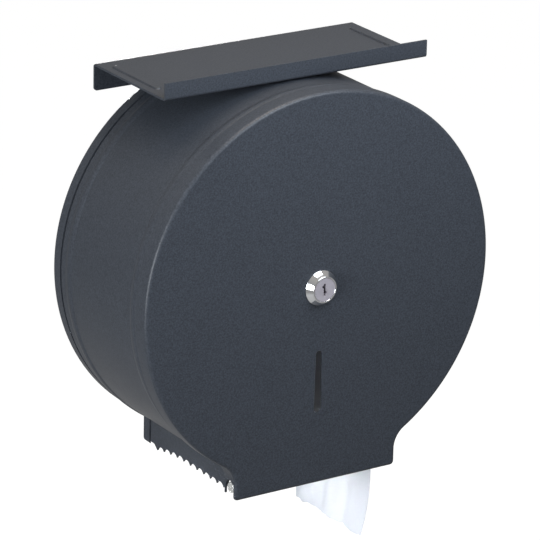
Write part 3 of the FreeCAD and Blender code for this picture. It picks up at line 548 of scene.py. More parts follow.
def rolled_tissue():
    """Tissue on the roll: one fine line for each layer on its ends, and a soft crepe round it."""
    material, tree, shader, place = finish("rolled_tissue")
    base = bpy.context.scene.dispenser_colours.tissue
    wound = maths(tree, "MULTIPLY", axis_distance(tree, place), 9000.0)
    drift = maths(tree, "MULTIPLY", grain(tree, place, 30.0), 9.0)
    layers = maths(tree, "SINE", maths(tree, "ADD", wound, drift))
    crepe = grain(tree, place, 1100.0, 5.0)
    height = maths(tree, "ADD", maths(tree, "MULTIPLY", layers, 0.4), crepe)
    feed(tree, shader.inputs["Base Color"],
         mixed(tree, ranged(tree, layers, 0.4, 1.0), shade(base, 0.82), shade(base, 1.0)))
    shader.inputs["Roughness"].default_value = 0.95
    shader.inputs["Sheen Weight"].default_value = 0.25
    bumped(tree, shader, height=height, strength=0.5, distance=0.0002)
    return material


def sheet_tissue():
    """The hanging sheet: crepe lines across its length, a soft matte surface and light through it."""
    material, tree, shader, place = finish("sheet_tissue")
    base = bpy.context.scene.dispenser_colours.tissue
    stretched = node(tree, "ShaderNodeMapping", Vector=place, Scale=(200.0, 260.0, 1500.0))
    crepe = grain(tree, stretched.outputs[0], 1.0, 4.0)
    fibres = grain(tree, place, 1300.0, 4.0)
    feed(tree, shader.inputs["Base Color"], mixed(tree, fibres, shade(base, 0.94), shade(base, 1.05)))
    shader.inputs["Roughness"].default_value = 0.95
    shader.inputs["Sheen Weight"].default_value = 0.25
    height = maths(tree, "ADD", crepe, maths(tree, "MULTIPLY", fibres, 0.4))
    normal = bumped(tree, shader, height=height, strength=0.35, distance=0.00015)
    through = node(tree, "ShaderNodeBsdfTranslucent", Color=shade(base, 1.0), Normal=normal)
    mix_shaders(tree, SEE_THROUGH, shader, through)
    return material


def plug_steel():
    """Satin plate on the plug, with lathe rings on its face. Only three tenths of it is metal; its matte
    rest in a bright lilac grey is painted reflection of the white surroundings.
    """
    # metal share 0.3: the plug colour's matte part is painted reflection, standing in for bright
    # surroundings mirrored in the plate
    return turned_metal("plug_steel", bpy.context.scene.dispenser_colours.plug, 0.38, 24000.0, 0.3)


def rivet_zinc():
    """Zinc plate on the rivets."""
    return turned_metal("rivet_zinc", bpy.context.scene.dispenser_colours.zinc, 0.42, 3000.0)


FINISHES = {
    "powder_coat": powder_coat, "rivet_steel": rivet_zinc, "bright_steel": drawn_steel,
    "lock_chrome": polished_chrome, "plug_steel": plug_steel, "grey_plastic": moulded_plastic,
    "cardboard": wound_board, "rolled_tissue": rolled_tissue, "sheet_tissue": sheet_tissue,
}
made_finishes = {}


def stocked(name):
    """The material of a finish, made at its first use."""
    if name not in made_finishes:
        made_finishes[name] = FINISHES[name]()
    return made_finishes[name]


# Front panel


def slot_edge(sizes, turns):
    """Points on the slot's edge for directions from its middle. The quarters to the right and left are
    spread along the two straight sides, and the upper and lower quarters round the two end arcs."""
    upper = -sizes.slot_top - sizes.slot_top_radius
    lower = -sizes.slot_bottom + sizes.slot_bottom_radius
    lean = math.asin((sizes.slot_bottom_radius - sizes.slot_top_radius) / (upper - lower))
    quarter = math.pi / 2
    side = np.where(np.abs(turns) < quarter, 1.0, -1.0)
    climb = np.clip(np.arcsin(np.sin(turns)) / quarter + 0.5, 0, 1)
    end_turn = np.clip((np.abs(np.arcsin(np.sin(turns))) - quarter / 2) / (quarter / 2), 0, 1)
    rises = np.sin(turns) > 0
    radius = np.where(rises, sizes.slot_top_radius, sizes.slot_bottom_radius)
    middle = np.where(rises, upper, lower)
    swing = np.where(rises, lean + end_turn * (quarter - lean), lean - end_turn * (quarter + lean))
    on_arc = np.stack([side * radius * np.cos(swing), middle + radius * np.sin(swing)], axis=-1)
    square_to_side = np.array([math.cos(lean), math.sin(lean)])
    foot = np.array([0.0, lower]) + sizes.slot_bottom_radius * square_to_side
    head = np.array([0.0, upper]) + sizes.slot_top_radius * square_to_side
    on_side = foot + climb[:, None] * (head - foot)
    on_side[:, 0] *= side
    return np.where((end_turn > 0)[:, None], on_arc, on_side)


def flat_reach(half_width, turns):
    """How far it is from the axis to two upright flats, by direction: half width / |cos|."""
    return half_width / np.maximum(np.abs(np.cos(turns)), 1e-9)


def lock_hole_edge(sizes, turns):
    """Points on the lock hole's edge, a circle with two flats, by their directions from the axis."""
    flat = flat_reach(sizes.barrel_flat + HOLE_PLAY, turns)
    reach = np.minimum(sizes.barrel_radius + HOLE_PLAY, flat)
    return reach[:, None] * np.stack([np.cos(turns), np.sin(turns)], axis=-1)


def face_ring(outer, centre, edge, depth):
    """Flat faces from a hole's edge out to a loop, matched by direction from the hole's middle."""
    away = outer - centre
    inner = edge(np.arctan2(away[:, 1], away[:, 0]))
    flat = np.stack([inner, outer])
    return surface(placed(flat[..., 0], np.full(flat.shape[:2], depth), flat[..., 1]),
                   close_columns=True)


def notch_middle(sizes, teeth):
    """Depth and height of the middle of the guide rod's notch."""
    return sizes.panel_depth - teeth.notch_setback, teeth.notch_rise - sizes.neck_bottom


def notch_edge(sizes, teeth):
    """Heights from the notch's top down to its middle, and how far it reaches to the front and rear at
    each: the root of (r squared - height squared)."""
    middle = notch_middle(sizes, teeth)[1]
    heights = middle + teeth.notch_radius * np.cos(np.linspace(0, math.pi / 2, 9))
    return heights, np.sqrt(np.maximum(teeth.notch_radius ** 2 - (heights - middle) ** 2, 0.0))


def panel_outline(sizes, teeth):
    """The face's outline as a closed loop with outward normals, the depth at which the skirt ends below
    each of its points, and the number of points on the right down to the level line. The skirt ends
    further forward where the notch and the mouth take it away."""
    outline = Outline(sizes.panel_radius, sizes.neck_half, sizes.neck_blend)
    notch_depth, notch_z = notch_middle(sizes, teeth)
    notch_top = notch_z + teeth.notch_radius
    notch_rows, reach = notch_edge(sizes, teeth)
    split_turn = math.asin(FACE_SPLIT / (sizes.panel_radius - sizes.edge_bend - FACE_MARGIN))
    upper = np.linspace(math.pi / 2, split_turn, ROUND_STEPS // 3)
    lower = np.linspace(split_turn, outline.crease_turn, ROUND_STEPS // 6)[1:]
    corner = np.array([sizes.neck_half - sizes.neck_corner, sizes.neck_corner - sizes.neck_bottom])
    corner_turns = np.linspace(0, -math.pi / 2, 7)
    corner_way = np.stack([np.cos(corner_turns), np.sin(corner_turns)], axis=-1)
    bottom_x = np.linspace(corner[0], 0, 25)[1:, None]
    above_notch = [outline.round_part(upper), outline.round_part(lower),
                   outline.blend_part(BLEND_STEPS, lowest=notch_top + NOTCH_MARGIN),
                   outline.wall_part(np.array([notch_top]))]
    below_notch = [outline.wall_part(notch_rows), outline.wall_part(corner[1:]),
                   (corner + sizes.neck_corner * corner_way, corner_way),
                   (np.hstack([bottom_x, np.full_like(bottom_x, -sizes.neck_bottom)]),
                    np.hstack([0 * bottom_x, np.full_like(bottom_x, -1.0)]))]
    points, normals = (np.concatenate(part) for part in zip(*above_notch, *below_notch))
    first = sum(len(part[0]) for part in above_notch)
    edge = np.full(len(points), sizes.skirt_edge)
    edge[first:] = notch_depth + teeth.notch_radius
    edge[first:first + len(notch_rows)] = notch_depth + reach
    return *mirrored_loop(points, normals), np.concatenate([edge, edge[-2:0:-1]]), len(upper)


def panel_rim(sizes, teeth, points, normals, edge):
    """Places and depths of the loops from the flat face round the bend and back along the skirt to its
    edge. Along the outline the bend runs inwards by r - r sin(t) and back by r - r cos(t)."""
    bend = sizes.edge_bend
    bend_turn = np.arccos(np.clip(1 - (sizes.panel_depth - edge) / bend, 0.0, 1.0))
    turn = np.linspace(0, 1, BEND_STEPS)[:, None] * bend_turn
    inset = bend - bend * np.sin(turn)
    depth = sizes.panel_depth - bend + bend * np.cos(turn)
    skirt = [np.minimum(np.maximum(edge, level), depth[-1])
             for level in (notch_middle(sizes, teeth)[0], sizes.skirt_edge)]
    inset = np.vstack([np.full(len(points), bend + FACE_MARGIN), inset, inset[-1], inset[-1]])
    depth = np.vstack([np.full(len(points), sizes.panel_depth), depth, *skirt])
    return points[None] - inset[..., None] * normals[None], depth


def panel_face(sizes, lock, loop, right):
    """The flat face inside a loop: a ring round the lock's hole above the level line, and a ring round
    the slot below it. Right is the loop's point at the line's right end."""
    left = len(loop) - right
    line_x = np.linspace(loop[left, 0], loop[right, 0], 81)[1:-1]
    level_line = np.stack([line_x, np.full(len(line_x), FACE_SPLIT)], axis=-1)
    above = np.concatenate([loop[left:], loop[:right + 1], level_line[::-1]])
    below = np.concatenate([loop[right:left + 1], level_line])
    slot_middle = np.array([0.0, -(sizes.slot_top + sizes.slot_bottom) / 2])
    return joined(
        face_ring(above, np.zeros(2), lambda turns: lock_hole_edge(lock, turns), sizes.panel_depth),
        face_ring(below, slot_middle, lambda turns: slot_edge(sizes, turns), sizes.panel_depth))


def skirt_tooth(sizes, teeth, side):
    """The thin tooth of the skirt behind the notch, on the right (1) or the left (-1)."""
    notch_depth = notch_middle(sizes, teeth)[0]
    notch_rows, reach = notch_edge(sizes, teeth)
    heights = np.append(notch_rows, sizes.skirt_trim - sizes.neck_bottom)
    front = np.append(notch_depth - reach, notch_depth - teeth.notch_radius)
    depth = np.stack([front, np.full(len(heights), sizes.skirt_edge)])
    return surface(placed(side * sizes.neck_half, depth, heights[None]), flip=side < 0)


def panel_shape(sizes, teeth, lock):
    """The drawn pan's outer face: the flat face, the bend round it, the skirt and its two teeth."""
    points, normals, edge, upper_count = panel_outline(sizes, teeth)
    loops, depth = panel_rim(sizes, teeth, points, normals, edge)
    rim = surface(placed(loops[..., 0], depth, loops[..., 1]), close_columns=True)
    face = panel_face(sizes, lock, loops[0], upper_count - 1)
    return joined(rim, face, skirt_tooth(sizes, teeth, -1), skirt_tooth(sizes, teeth, 1))


class MakePanel(bpy.types.Operator):
    """Front panel: a drawn pan with neck, viewing slot, lock hole and rod notches"""
    bl_idname = "dispenser.front_panel"
    bl_label = "Front panel"

    def execute(self, context):
        scene = context.scene
        shape = panel_shape(scene.dispenser_housing, scene.dispenser_teeth, scene.dispenser_lock)
        make_piece("cover_panel", shape, stocked("powder_coat"), "cover",
                   ["front_panel"], thickness=scene.dispenser_housing.sheet)
        return {"FINISHED"}


# Drum wall


def tooth_row(teeth, tip):
    """Depths and heights along round hollows between sharp tips. A hollow is the arc through two tips
    and its own crown, so its height is the root of (rho squared - x squared) less a constant. The
    rearmost tips hang lower, by the sag times the square of what is left of its length."""
    rho = ((teeth.pitch / 2) ** 2 + teeth.height ** 2) / (2 * teeth.height)
    swing = math.asin(teeth.pitch / 2 / rho)
    turns = np.linspace(-swing, swing, 9)[:-1]
    hollow_x = rho * np.sin(turns)
    hollow_z = tip + rho * np.cos(turns) - rho + teeth.height
    middles = teeth.start + (np.arange(teeth.count) + 0.5) * teeth.pitch
    along = np.arange(teeth.count + 1) * teeth.pitch
    drops = -teeth.sag * np.clip(1 - along / teeth.sag_length, 0, 1) ** 2
    share = hollow_x[None] / teeth.pitch + 0.5
    drop = drops[:-1, None] + share * (drops[1:] - drops[:-1])[:, None]
    return np.stack([middles[:, None] + hollow_x[None], hollow_z[None] + drop], axis=-1).reshape(-1, 2)


def lower_edge(sizes, teeth):
    """Depths along the neck's wall and the height of its lower edge at each: a plain stretch, a ramp,
    the row of teeth, and the notch for the guide rod."""
    tip = teeth.tip_rise - sizes.neck_bottom
    root = tip + teeth.height
    plain = teeth.plain_rise - sizes.neck_bottom
    notch = notch_middle(sizes, teeth)
    arc = corner_arc(notch, teeth.notch_radius, 180, 90, 10)
    arc[0, 0] += SLIVER
    behind = [[float(-WALL_HIGH[1]), plain], [teeth.start - teeth.ramp, plain]]
    last = teeth.start + teeth.count * teeth.pitch
    ahead = [[last, tip], [sizes.skirt_edge, root], [notch[0] - teeth.notch_radius, root]]
    front = [[float(-WALL_LOW[1]), arc[-1, 1]]]
    edge = np.concatenate([behind, tooth_row(teeth, tip), ahead, arc, front])
    return edge[:, 0], edge[:, 1]


def bead_rise(depth, middle, width, height):
    """How far a bead stands out at a depth: an arc over its width, the root of (rho squared - x squared)
    less a constant, and nothing beside it."""
    rho = (width ** 2 / 4 + height ** 2) / (2 * height)
    along = np.clip(np.abs(depth - middle), 0, width / 2)
    return np.sqrt(rho ** 2 - along ** 2) - (rho - height)


def wall_shape(sizes, teeth):
    """The drum wall's outer face: one strip that follows the outline, on a grid of places along it and
    depths. Two beads stand out on the round, and the neck's walls end on the serrated edge."""
    gap = sizes.sheet + sizes.weld_gap
    outline = Outline(sizes.panel_radius - gap, sizes.neck_half - gap, sizes.wall_bend)
    rear_edge = float(-WALL_HIGH[1])
    rear_middle = rear_edge + sizes.rear_bead
    front_middle = sizes.skirt_edge - sizes.front_bead
    edge_depth, edge_z = lower_edge(sizes, teeth)
    bead_depths = [np.linspace(middle - width / 2, middle + width / 2, 9)
                   for middle, width in ((rear_middle, sizes.rear_bead_width),
                                         (front_middle, sizes.front_bead_width))]
    depth = np.unique(np.round(np.concatenate([edge_depth, *bead_depths]), 7))
    end_z = np.interp(depth, edge_depth, edge_z)
    rise = (bead_rise(depth, rear_middle, sizes.rear_bead_width, sizes.bead_height)
            + bead_rise(depth, front_middle, sizes.front_bead_width, sizes.bead_height))

    turns = np.linspace(math.pi / 2, outline.crease_turn, ROUND_STEPS // 2)
    round_points, round_normals = outline.round_part(turns)
    blend_points, blend_normals = outline.blend_part(6)
    to_crease = (turns - outline.crease_turn) * outline.radius
    fade = eased(np.clip(to_crease / sizes.bead_fade, 0, 1))
    bulge = np.concatenate([fade, np.zeros(len(blend_points))])[:, None] * rise[None]
    points = np.concatenate([round_points, blend_points])
    normals = np.concatenate([round_normals, blend_normals])
    x = points[:, 0][:, None] + normals[:, 0][:, None] * bulge
    z = points[:, 1][:, None] + normals[:, 1][:, None] * bulge
    share = np.linspace(0, 1, 5)[1:, None]
    x = np.vstack([x, np.full((len(share), len(depth)), outline.neck)])
    z = np.vstack([z, outline.blend_z + share * (end_z[None] - outline.blend_z)])
    x = np.vstack([-x[:0:-1], x])
    z = np.vstack([z[:0:-1], z])
    return surface(placed(x, depth[None], z))


class MakeWall(bpy.types.Operator):
    """Drum wall: one rolled strip with two beads and a serrated edge on each side of the neck"""
    bl_idname = "dispenser.drum_wall"
    bl_label = "Drum wall"

    def execute(self, context):
        sizes = context.scene.dispenser_housing
        make_piece("cover_wall", wall_shape(sizes, context.scene.dispenser_teeth),
                   stocked("powder_coat"), "cover", ["drum_wall"], thickness=sizes.sheet)
        return {"FINISHED"}


# Shelf


def bent_strip(corners):
    """A path of depth and height through corner points, each with the radius of its bend."""
    points = [np.array([corners[0][:2]])]
    for before, (depth, z, radius), after in zip(corners, corners[1:], corners[2:]):
        corner = np.array([depth, z])
        to_before = np.sign(np.array(before[:2]) - corner)
        to_after = np.sign(np.array(after[:2]) - corner)
        turns = np.linspace(0, math.pi / 2, FOLD_STEPS)[:, None]
        to_start = radius * (1 - np.sin(turns)) * to_before
        to_end = radius * (1 - np.cos(turns)) * to_after
        points.append(corner + to_start + to_end)
    points.append(np.array([corners[-1][:2]]))
    return np.concatenate(points)


def rib_rise(sizes, x, depth):
    """Height of the two pressed ribs over the tray: full within the rib, falling off smoothly at its
    edge, by the distance to the rib's middle line."""
    middle = float(SHELF_HIGH[0]) - sizes.rib_inset
    half = sizes.rib_width / 2
    nearest = np.clip(depth, sizes.rib_rear + half, sizes.rib_front - half)
    away = np.hypot(np.abs(x) - middle, depth - nearest)
    return sizes.rib_height * eased(np.clip((half - away) / sizes.rib_flank, 0, 1))


def shelf_shape(sizes):
    """The strip's upper face: rear flange, tray and front lip as one bent path carried across the
    width. The tray rises over the ribs, and the flange's lower edge runs up round its corners."""
    half_width = float(SHELF_HIGH[0])
    reach = float(-SHELF_LOW[1])
    lip_top = float(SHELF_HIGH[2])
    tray = lip_top - sizes.lip
    low = float(SHELF_LOW[2])
    outer_bend = sizes.bend + sizes.sheet
    half = sizes.rib_width / 2
    path = bent_strip([(0, low, 0), (0, tray, outer_bend), (reach - sizes.sheet, tray, sizes.bend),
                       (reach - sizes.sheet, lip_top, 0)])
    flange = np.linspace(low, tray - outer_bend, 5)[1:-1]
    past_end, past_side, before_rib = 0.0003, 0.0002, 0.001
    rib_rows = np.concatenate([sizes.rib_rear + np.linspace(-past_end, half, 14),
                               np.linspace(sizes.rib_rear + half, sizes.rib_front - half, 6)[1:-1],
                               sizes.rib_front + np.linspace(-half, past_end, 14)])
    start, bend, front = np.split(path, [1, 1 + FOLD_STEPS])
    path = np.concatenate([start, np.stack([np.zeros(len(flange)), flange], axis=-1), bend,
                           np.stack([rib_rows, np.full(len(rib_rows), tray)], axis=-1), front])
    middle = half_width - sizes.rib_inset
    rib_columns = middle + np.linspace(-half - past_side, half + past_side, 23)
    end_columns = half_width - sizes.corner * (1 - np.sin(np.linspace(0, math.pi / 2, 7)))
    positive = np.concatenate([np.linspace(0, middle - half - before_rib, 10), rib_columns, end_columns])
    x = np.concatenate([-positive[:0:-1], positive])[None]
    depth = np.broadcast_to(path[:, :1], (len(path), x.shape[1]))
    z = path[:, 1:] + rib_rise(sizes, x, depth) * (np.abs(path[:, 1:] - tray) < 1e-7)
    past = np.clip(np.abs(x) - half_width + sizes.corner, 0, sizes.corner)
    lift = sizes.corner - np.sqrt(sizes.corner ** 2 - past ** 2)
    share = np.clip((flange[0] - path[:, 1:]) / (flange[0] - low), 0, 1)
    return surface(placed(np.broadcast_to(x, z.shape), depth, z + lift * share), flip=True)


class MakeShelf(bpy.types.Operator):
    """Shelf: rear flange, tray and front lip from one strip, with a pressed rib near each end"""
    bl_idname = "dispenser.shelf"
    bl_label = "Shelf"

    def execute(self, context):
        sizes = context.scene.dispenser_shelf
        make_piece("top_shelf", shelf_shape(sizes), stocked("powder_coat"), "wall_unit",
                   ["shelf"], thickness=sizes.sheet)
        return {"FINISHED"}


# Guide rod and lock


def rod_shape():
    """The bar as a profile of radius and place across, turned about its own axis. Its ends are rounded."""
    half = float(GUIDE_HIGH[0])
    radius = float(GUIDE_HIGH[2] - GUIDE_LOW[2]) / 2
    round_end = 0.0005
    right = corner_arc((radius - round_end, half - round_end), round_end, 90, 0, 5)
    profile = np.concatenate([[[0.0, half], [radius / 2, half]], right])
    profile = np.concatenate([profile, (profile * np.array([1.0, -1.0]))[::-1]])
    reach, across = profile[:, :1], profile[:, 1:]
    turn = full_turn(48)
    middle_depth = -float(GUIDE_LOW[1] + GUIDE_HIGH[1]) / 2
    middle_z = float(GUIDE_LOW[2] + GUIDE_HIGH[2]) / 2
    return surface(placed(across, middle_depth + reach * np.cos(turn), middle_z + reach * np.sin(turn)),
                   close_columns=True)


class MakeRod(bpy.types.Operator):
    """Guide rod: a bright bar across the neck with rounded ends"""
    bl_idname = "dispenser.guide_rod"
    bl_label = "Guide rod"

    def execute(self, context):
        make_piece("paper_guide", rod_shape(), stocked("bright_steel"), "cover",
                   ["guide_rod"], closed=True)
        return {"FINISHED"}


def lock_shape(sizes):
    """Bezel and barrel as one closed profile turned about the axis. On the barrel the radius has two
    flats, radius = min(r, flat / |cos|), and a thread whose depth follows a triangle wave along it."""
    face = -float(PANEL_LOW[1])
    nose = -float(LOCK_LOW[1])
    rear = -float(LOCK_HIGH[1])
    bezel = float(LOCK_HIGH[0])
    shoulder = nose - sizes.head_depth
    rim_edge, hole_edge = 0.00025, 0.0002
    rim = corner_arc((bezel - rim_edge, face + sizes.rim - rim_edge), rim_edge, 0, 60, 4)
    nose_edge = corner_arc((sizes.front_radius - sizes.edge, nose - sizes.edge), sizes.edge, 35, 90, 6)
    head_edge = corner_arc((sizes.head_hole + hole_edge, nose - hole_edge), hole_edge, 90, 180, 4)
    front = np.concatenate([[[bezel, face]], rim, nose_edge, head_edge,
                            [[sizes.head_hole, shoulder], [sizes.bore, shoulder], [sizes.bore, rear]]])
    chamfer, plain_length = 0.0005, 0.0022
    along = np.arange(rear + chamfer, face - plain_length, sizes.thread_pitch / 6)
    turn = full_turn(96)
    pitches = along[:, None] / sizes.thread_pitch - turn / (2 * math.pi)
    wave = np.abs(pitches % 1 - 0.5)
    flat = flat_reach(sizes.barrel_flat, turn)
    thread = np.minimum(sizes.barrel_radius - sizes.thread_depth * (1 - 2 * wave), flat)
    plain = np.minimum(sizes.barrel_radius, flat)
    radius = np.vstack([np.broadcast_to(front[:, :1], (len(front), turn.size)), plain - chamfer, thread,
                        plain])
    depth = np.concatenate([front[:, 1], [rear], along, [face]])[:, None]
    return turned(radius, depth, turn)


class MakeLock(bpy.types.Operator):
    """Lock housing: conical bezel and threaded barrel in bright plate"""
    bl_idname = "dispenser.lock_housing"
    bl_label = "Lock housing"

    def execute(self, context):
        make_piece("lock_bezel", lock_shape(context.scene.dispenser_lock), stocked("lock_chrome"),
                   "cover", ["lock_housing"], closed=True)
        return {"FINISHED"}


# Paper


def roll_shape(sizes):
    """The roll as a closed ring profile with soft outer edges, turned about the axis. Its ends dish by
    up to half a millimetre in slow rings, the sum of two sines of the radius, as wound layers do. Its
    outside is a little out of round, by a sine of three lobes."""
    outside = float(ROLL_HIGH[0])
    rear = float(-ROLL_HIGH[1])
    front = float(-ROLL_LOW[1])
    edge = sizes.roll_edge
    core_edge, ring_height, out_of_round = 0.0004, 0.00012, 0.0012
    radii = np.linspace(sizes.core_radius + core_edge, outside - edge, 30)
    dish = ring_height * (np.sin(radii * 2600) + np.sin(radii * 1130 + 1.0) - 2)
    front_face = np.stack([radii, front + dish], axis=-1)
    rear_face = np.stack([radii, rear - dish], axis=-1)[::-1]
    front_edge = corner_arc((outside - edge, front - edge), edge, 90, 0)
    rear_edge = corner_arc((outside - edge, rear + edge), edge, 0, -90)
    inside = np.array([[sizes.core_radius, rear + core_edge], [sizes.core_radius, front - core_edge]])
    profile = np.concatenate([front_face, front_edge, rear_edge, rear_face, inside])
    turn = full_turn(128)
    lobes = 1 - out_of_round * (1 + np.sin(3 * turn + 0.6)) / 2
    radius = profile[:, :1] * np.where(profile[:, :1] < radii[1], 1.0, lobes)
    return turned(radius, profile[:, 1:], turn)


def tail_shape(sizes, teeth):
    """The hanging sheet on a grid of down (0 to 1) and across (0 to 1). Its side place is a straight
    line down, plus a sine of the given number of half waves whose height grows downwards, plus small
    crossing ripples. Its front edge is straight over the first three quarters and then runs back by the
    square of what follows. Its end is torn on the serrated edge, so it runs in low arches, one for
    each tooth, with a slow wave over them that grows only near the end."""
    side_gap, lean, top_fold, ripple_height = 0.00045, 0.0013, 0.00012, 0.00022
    end_gap, end_wave = 0.0004, 0.0005
    down = np.linspace(0, 1, 150)[:, None]
    across = np.linspace(0, 1, 121)[None, :]
    length_down = float(-TAIL_LOW[2])
    run_in = np.clip(down - (1 - RUN_IN_SHARE), 0, 1) / RUN_IN_SHARE
    front = sizes.front - sizes.run_in * run_in ** 2
    depth = sizes.rear + (front - sizes.rear) * across
    arches = np.abs(np.sin(math.pi * (depth[-1:] - teeth.start) / teeth.pitch))
    torn = sizes.torn * (0.4 - arches) + end_wave * np.sin(across * 37.0) * np.sin(across * 11.0)
    z = -down * (length_down - end_gap) + (end_gap + torn) * down ** 12
    z = np.maximum(z, -length_down)
    base = float(TAIL_LOW[0]) + side_gap + lean * down
    fold = top_fold + (sizes.fold - top_fold) * down ** 1.3
    waves = np.sin(across * 41.0 + down * 5.0) + np.sin(across * 23.0 - down * 9.0 + 1.0)
    ripple = ripple_height * down * waves
    x = base - fold * np.sin(sizes.folds * math.pi * across) + ripple * np.sin(math.pi * across)
    return surface(placed(x, depth, z), flip=True)


class MakePaper(bpy.types.Operator):
    """Paper: the part-used roll, and the sheet that hangs out of the neck"""
    bl_idname = "dispenser.paper"
    bl_label = "Paper"

    def execute(self, context):
        sizes = context.scene.dispenser_paper
        make_piece("tissue_roll", roll_shape(sizes), stocked("rolled_tissue"), "roll",
                   ["paper_roll"], closed=True)
        shape = tail_shape(sizes, context.scene.dispenser_teeth)
        sheet = make_piece("tissue_sheet", shape, stocked("sheet_tissue"), "wall_unit",
                           ["paper_tail"], thickness=sizes.sheet)
        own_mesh(sheet)
        return {"FINISHED"}


# Nodes that keep their packed shape


class FinishNodes(bpy.types.Operator):
    """Gives every packed node that stays in view the finish of its material slot"""
    bl_idname = "dispenser.packed_nodes"
    bl_label = "Packed nodes"

    def execute(self, context):
        slots = {row["node"]: row["material_slot"] for row in frame["record"]["subparts"]}
        for name, part in frame["nodes"].items():
            if part.hide_render:
                continue
            for holder in part.material_slots:
                holder.link = "OBJECT"
                holder.material = stocked(slots[name])
        return {"FINISHED"}


# Stage


def soft_lamp(name, power, place, aim, side, tint, spread=180.0):
    """A square area lamp that looks from its place to its aim. A spread below 180 degrees stands for a
    grid that narrows its beam."""
    data = bpy.data.lights.new(name, "AREA")
    data.shape = "SQUARE"
    data.size = side
    data.energy = power
    data.color = tint
    data.spread = math.radians(spread)
    lamp = bpy.data.objects.new(name, data)
    lamp.location = place
    lamp.rotation_euler = (Vector(aim) - Vector(place)).to_track_quat("-Z", "Y").to_euler()
    bpy.context.scene.collection.objects.link(lamp)


def seen_directly(tree):
    """1 for rays from the camera or through glass, GLOSS_SHARE for those that gloss sends on, else 0."""
    path = tree.nodes.new("ShaderNodeLightPath").outputs
    either = maths(tree, "MAXIMUM", path["Is Camera Ray"], path["Is Transmission Ray"])
    return maths(tree, "MAXIMUM", either, maths(tree, "MULTIPLY", path["Is Glossy Ray"], GLOSS_SHARE))


def lay_floor(settings, base):
    """A pale floor under a white glow, on which the object's shadow is faint. Only FLOOR_BOUNCE of its
    colour lights the object, as with dark flags beside a white sweep."""
    material, tree, shader, place = finish("stage_floor")
    shader.inputs["Roughness"].default_value = 0.9
    speckle = grain(tree, place, 6.0)
    seen = seen_directly(tree)
    pale = mixed(tree, speckle, shade(base, 0.98), shade(base, 1.02))
    feed(tree, shader.inputs["Base Color"], mixed(tree, seen, shade(base, FLOOR_BOUNCE), pale))
    glow = node(tree, "ShaderNodeEmission", Color=WHITE, Strength=FLOOR_GLOW)
    share = maths(tree, "MULTIPLY", seen, FLOOR_GLOW_SHARE)
    mix_shaders(tree, share, shader, glow)
    corners = FLOOR_HALF * np.array([[-1, -1], [1, -1], [1, 1], [-1, 1]])
    points = np.column_stack([corners, np.full(4, -settings.floor_drop)])
    mesh = bpy.data.meshes.new("studio_floor")
    mesh.from_pydata(points.tolist(), [], [(0, 1, 2, 3)])
    mesh.materials.append(material)
    floor = bpy.data.objects.new("studio_floor", mesh)
    bpy.context.scene.collection.objects.link(floor)


def light_surroundings(settings):
    """Soft light from all round, brighter from above than from the sides and below, as in a studio with
    a ceiling screen. Where the camera sees it, it is plain white."""
    world = bpy.data.worlds.new("studio")
    bpy.context.scene.world = world
    world.use_nodes = True
    tree = world.node_tree
    background = tree.nodes["Background"]
    way = tree.nodes.new("ShaderNodeTexCoord").outputs["Generated"]
    height = node(tree, "ShaderNodeSeparateXYZ", Vector=way).outputs["Z"]
    screen = node(tree, "ShaderNodeMapRange", {"interpolation_type": "SMOOTHSTEP"}, Value=height,
                  From_Max=SCREEN_EDGE, To_Min=SCREEN_LOW, To_Max=SCREEN_HIGH).outputs[0]
    around = maths(tree, "MULTIPLY", screen, settings.world)
    share = seen_directly(tree)
    tint = mixed(tree, height, COOL_WHITE, WARM_WHITE)
    feed(tree, background.inputs["Color"], mixed(tree, share, tint, WHITE))
    unseen = maths(tree, "MULTIPLY", maths(tree, "SUBTRACT", 1.0, share), around)
    feed(tree, background.inputs["Strength"], maths(tree, "ADD", share, unseen))


def place_camera(settings):
    """A camera on the photograph's line of sight, turned about its own axis by the roll."""
    azimuth, elevation, roll = settings.azimuth, settings.elevation, settings.roll
    back = Vector((math.sin(azimuth) * math.cos(elevation), -math.cos(azimuth) * math.cos(elevation),
                   math.sin(elevation)))
    right = Vector((math.cos(azimuth), math.sin(azimuth), 0))
    up = back.cross(right)
    turned_right = math.cos(roll) * right + math.sin(roll) * up
    turned_up = -math.sin(roll) * right + math.cos(roll) * up
    data = bpy.data.cameras.new("photo_camera")
    data.sensor_width = 36.0
    data.lens = settings.lens
    data.clip_end = 100.0
    camera = bpy.data.objects.new("photo_camera", data)
    turn = Matrix((turned_right, turned_up, back)).transposed().to_4x4()
    camera.matrix_world = Matrix.Translation(Vector(settings.target) + settings.distance * back) @ turn
    bpy.context.scene.collection.objects.link(camera)
    bpy.context.scene.camera = camera


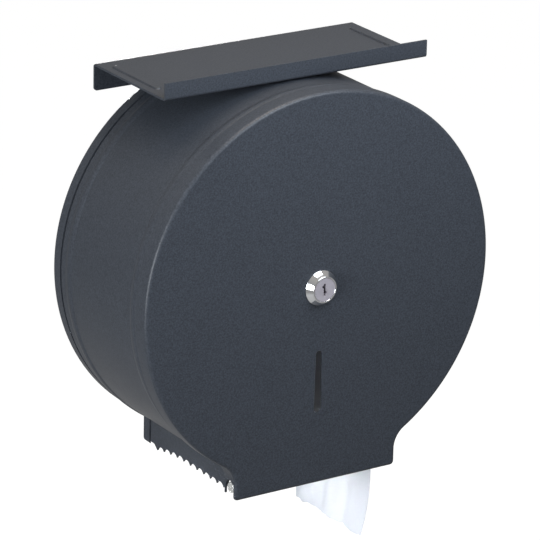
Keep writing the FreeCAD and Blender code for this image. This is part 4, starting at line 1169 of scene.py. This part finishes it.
class SetStage(bpy.types.Operator):
    """Floor, lamps, surroundings and the photograph's camera"""
    bl_idname = "dispenser.stage"
    bl_label = "Stage"

    def execute(self, context):
        scene = context.scene
        settings = scene.dispenser_stage
        scene.view_settings.view_transform = "Standard"
        lay_floor(settings, scene.dispenser_colours.floor)
        light_surroundings(settings)
        for name, lamp in LAMPS.items():
            soft_lamp(f"{name}_lamp", getattr(settings, name), **lamp)
        place_camera(settings)
        return {"FINISHED"}


# Sidebar and registration


PIECES = (MakePanel, MakeWall, MakeShelf, MakeRod, MakeLock, MakePaper, FinishNodes, SetStage)
GROUPS = {
    "dispenser_housing": HousingSizes, "dispenser_teeth": ToothSizes, "dispenser_shelf": ShelfSizes,
    "dispenser_lock": LockSizes, "dispenser_paper": PaperSizes, "dispenser_colours": FinishColours,
    "dispenser_stage": StageSettings,
}


class DispenserPanel(bpy.types.Panel):
    """Lists the sizes and colours, with a button for each piece"""
    bl_idname = "VIEW3D_PT_dispenser"
    bl_label = "Dispenser"
    bl_space_type = "VIEW_3D"
    bl_region_type = "UI"
    bl_category = "Dispenser"

    def draw(self, context):
        for piece in PIECES:
            self.layout.operator(piece.bl_idname)
        for name, group in GROUPS.items():
            box = self.layout.box()
            box.label(text=group.__doc__.split(":")[0])
            for key in group.__annotations__:
                box.prop(getattr(context.scene, name), key)


CLASSES = (*GROUPS.values(), *PIECES, DispenserPanel)


def register():
    for kind in CLASSES:
        bpy.utils.register_class(kind)
    for name, group in GROUPS.items():
        setattr(bpy.types.Scene, name, PointerProperty(type=group))


def unregister():
    for name in GROUPS:
        delattr(bpy.types.Scene, name)
    for kind in reversed(CLASSES):
        bpy.utils.unregister_class(kind)


def main():
    """Builds every piece in order, in metres, finishes the packed nodes and sets the stage."""
    register()
    bpy.ops.dispenser.front_panel()
    bpy.ops.dispenser.drum_wall()
    bpy.ops.dispenser.shelf()
    bpy.ops.dispenser.guide_rod()
    bpy.ops.dispenser.lock_housing()
    bpy.ops.dispenser.paper()
    bpy.ops.dispenser.packed_nodes()
    bpy.ops.dispenser.stage()


if __name__ == "__main__":
    main()
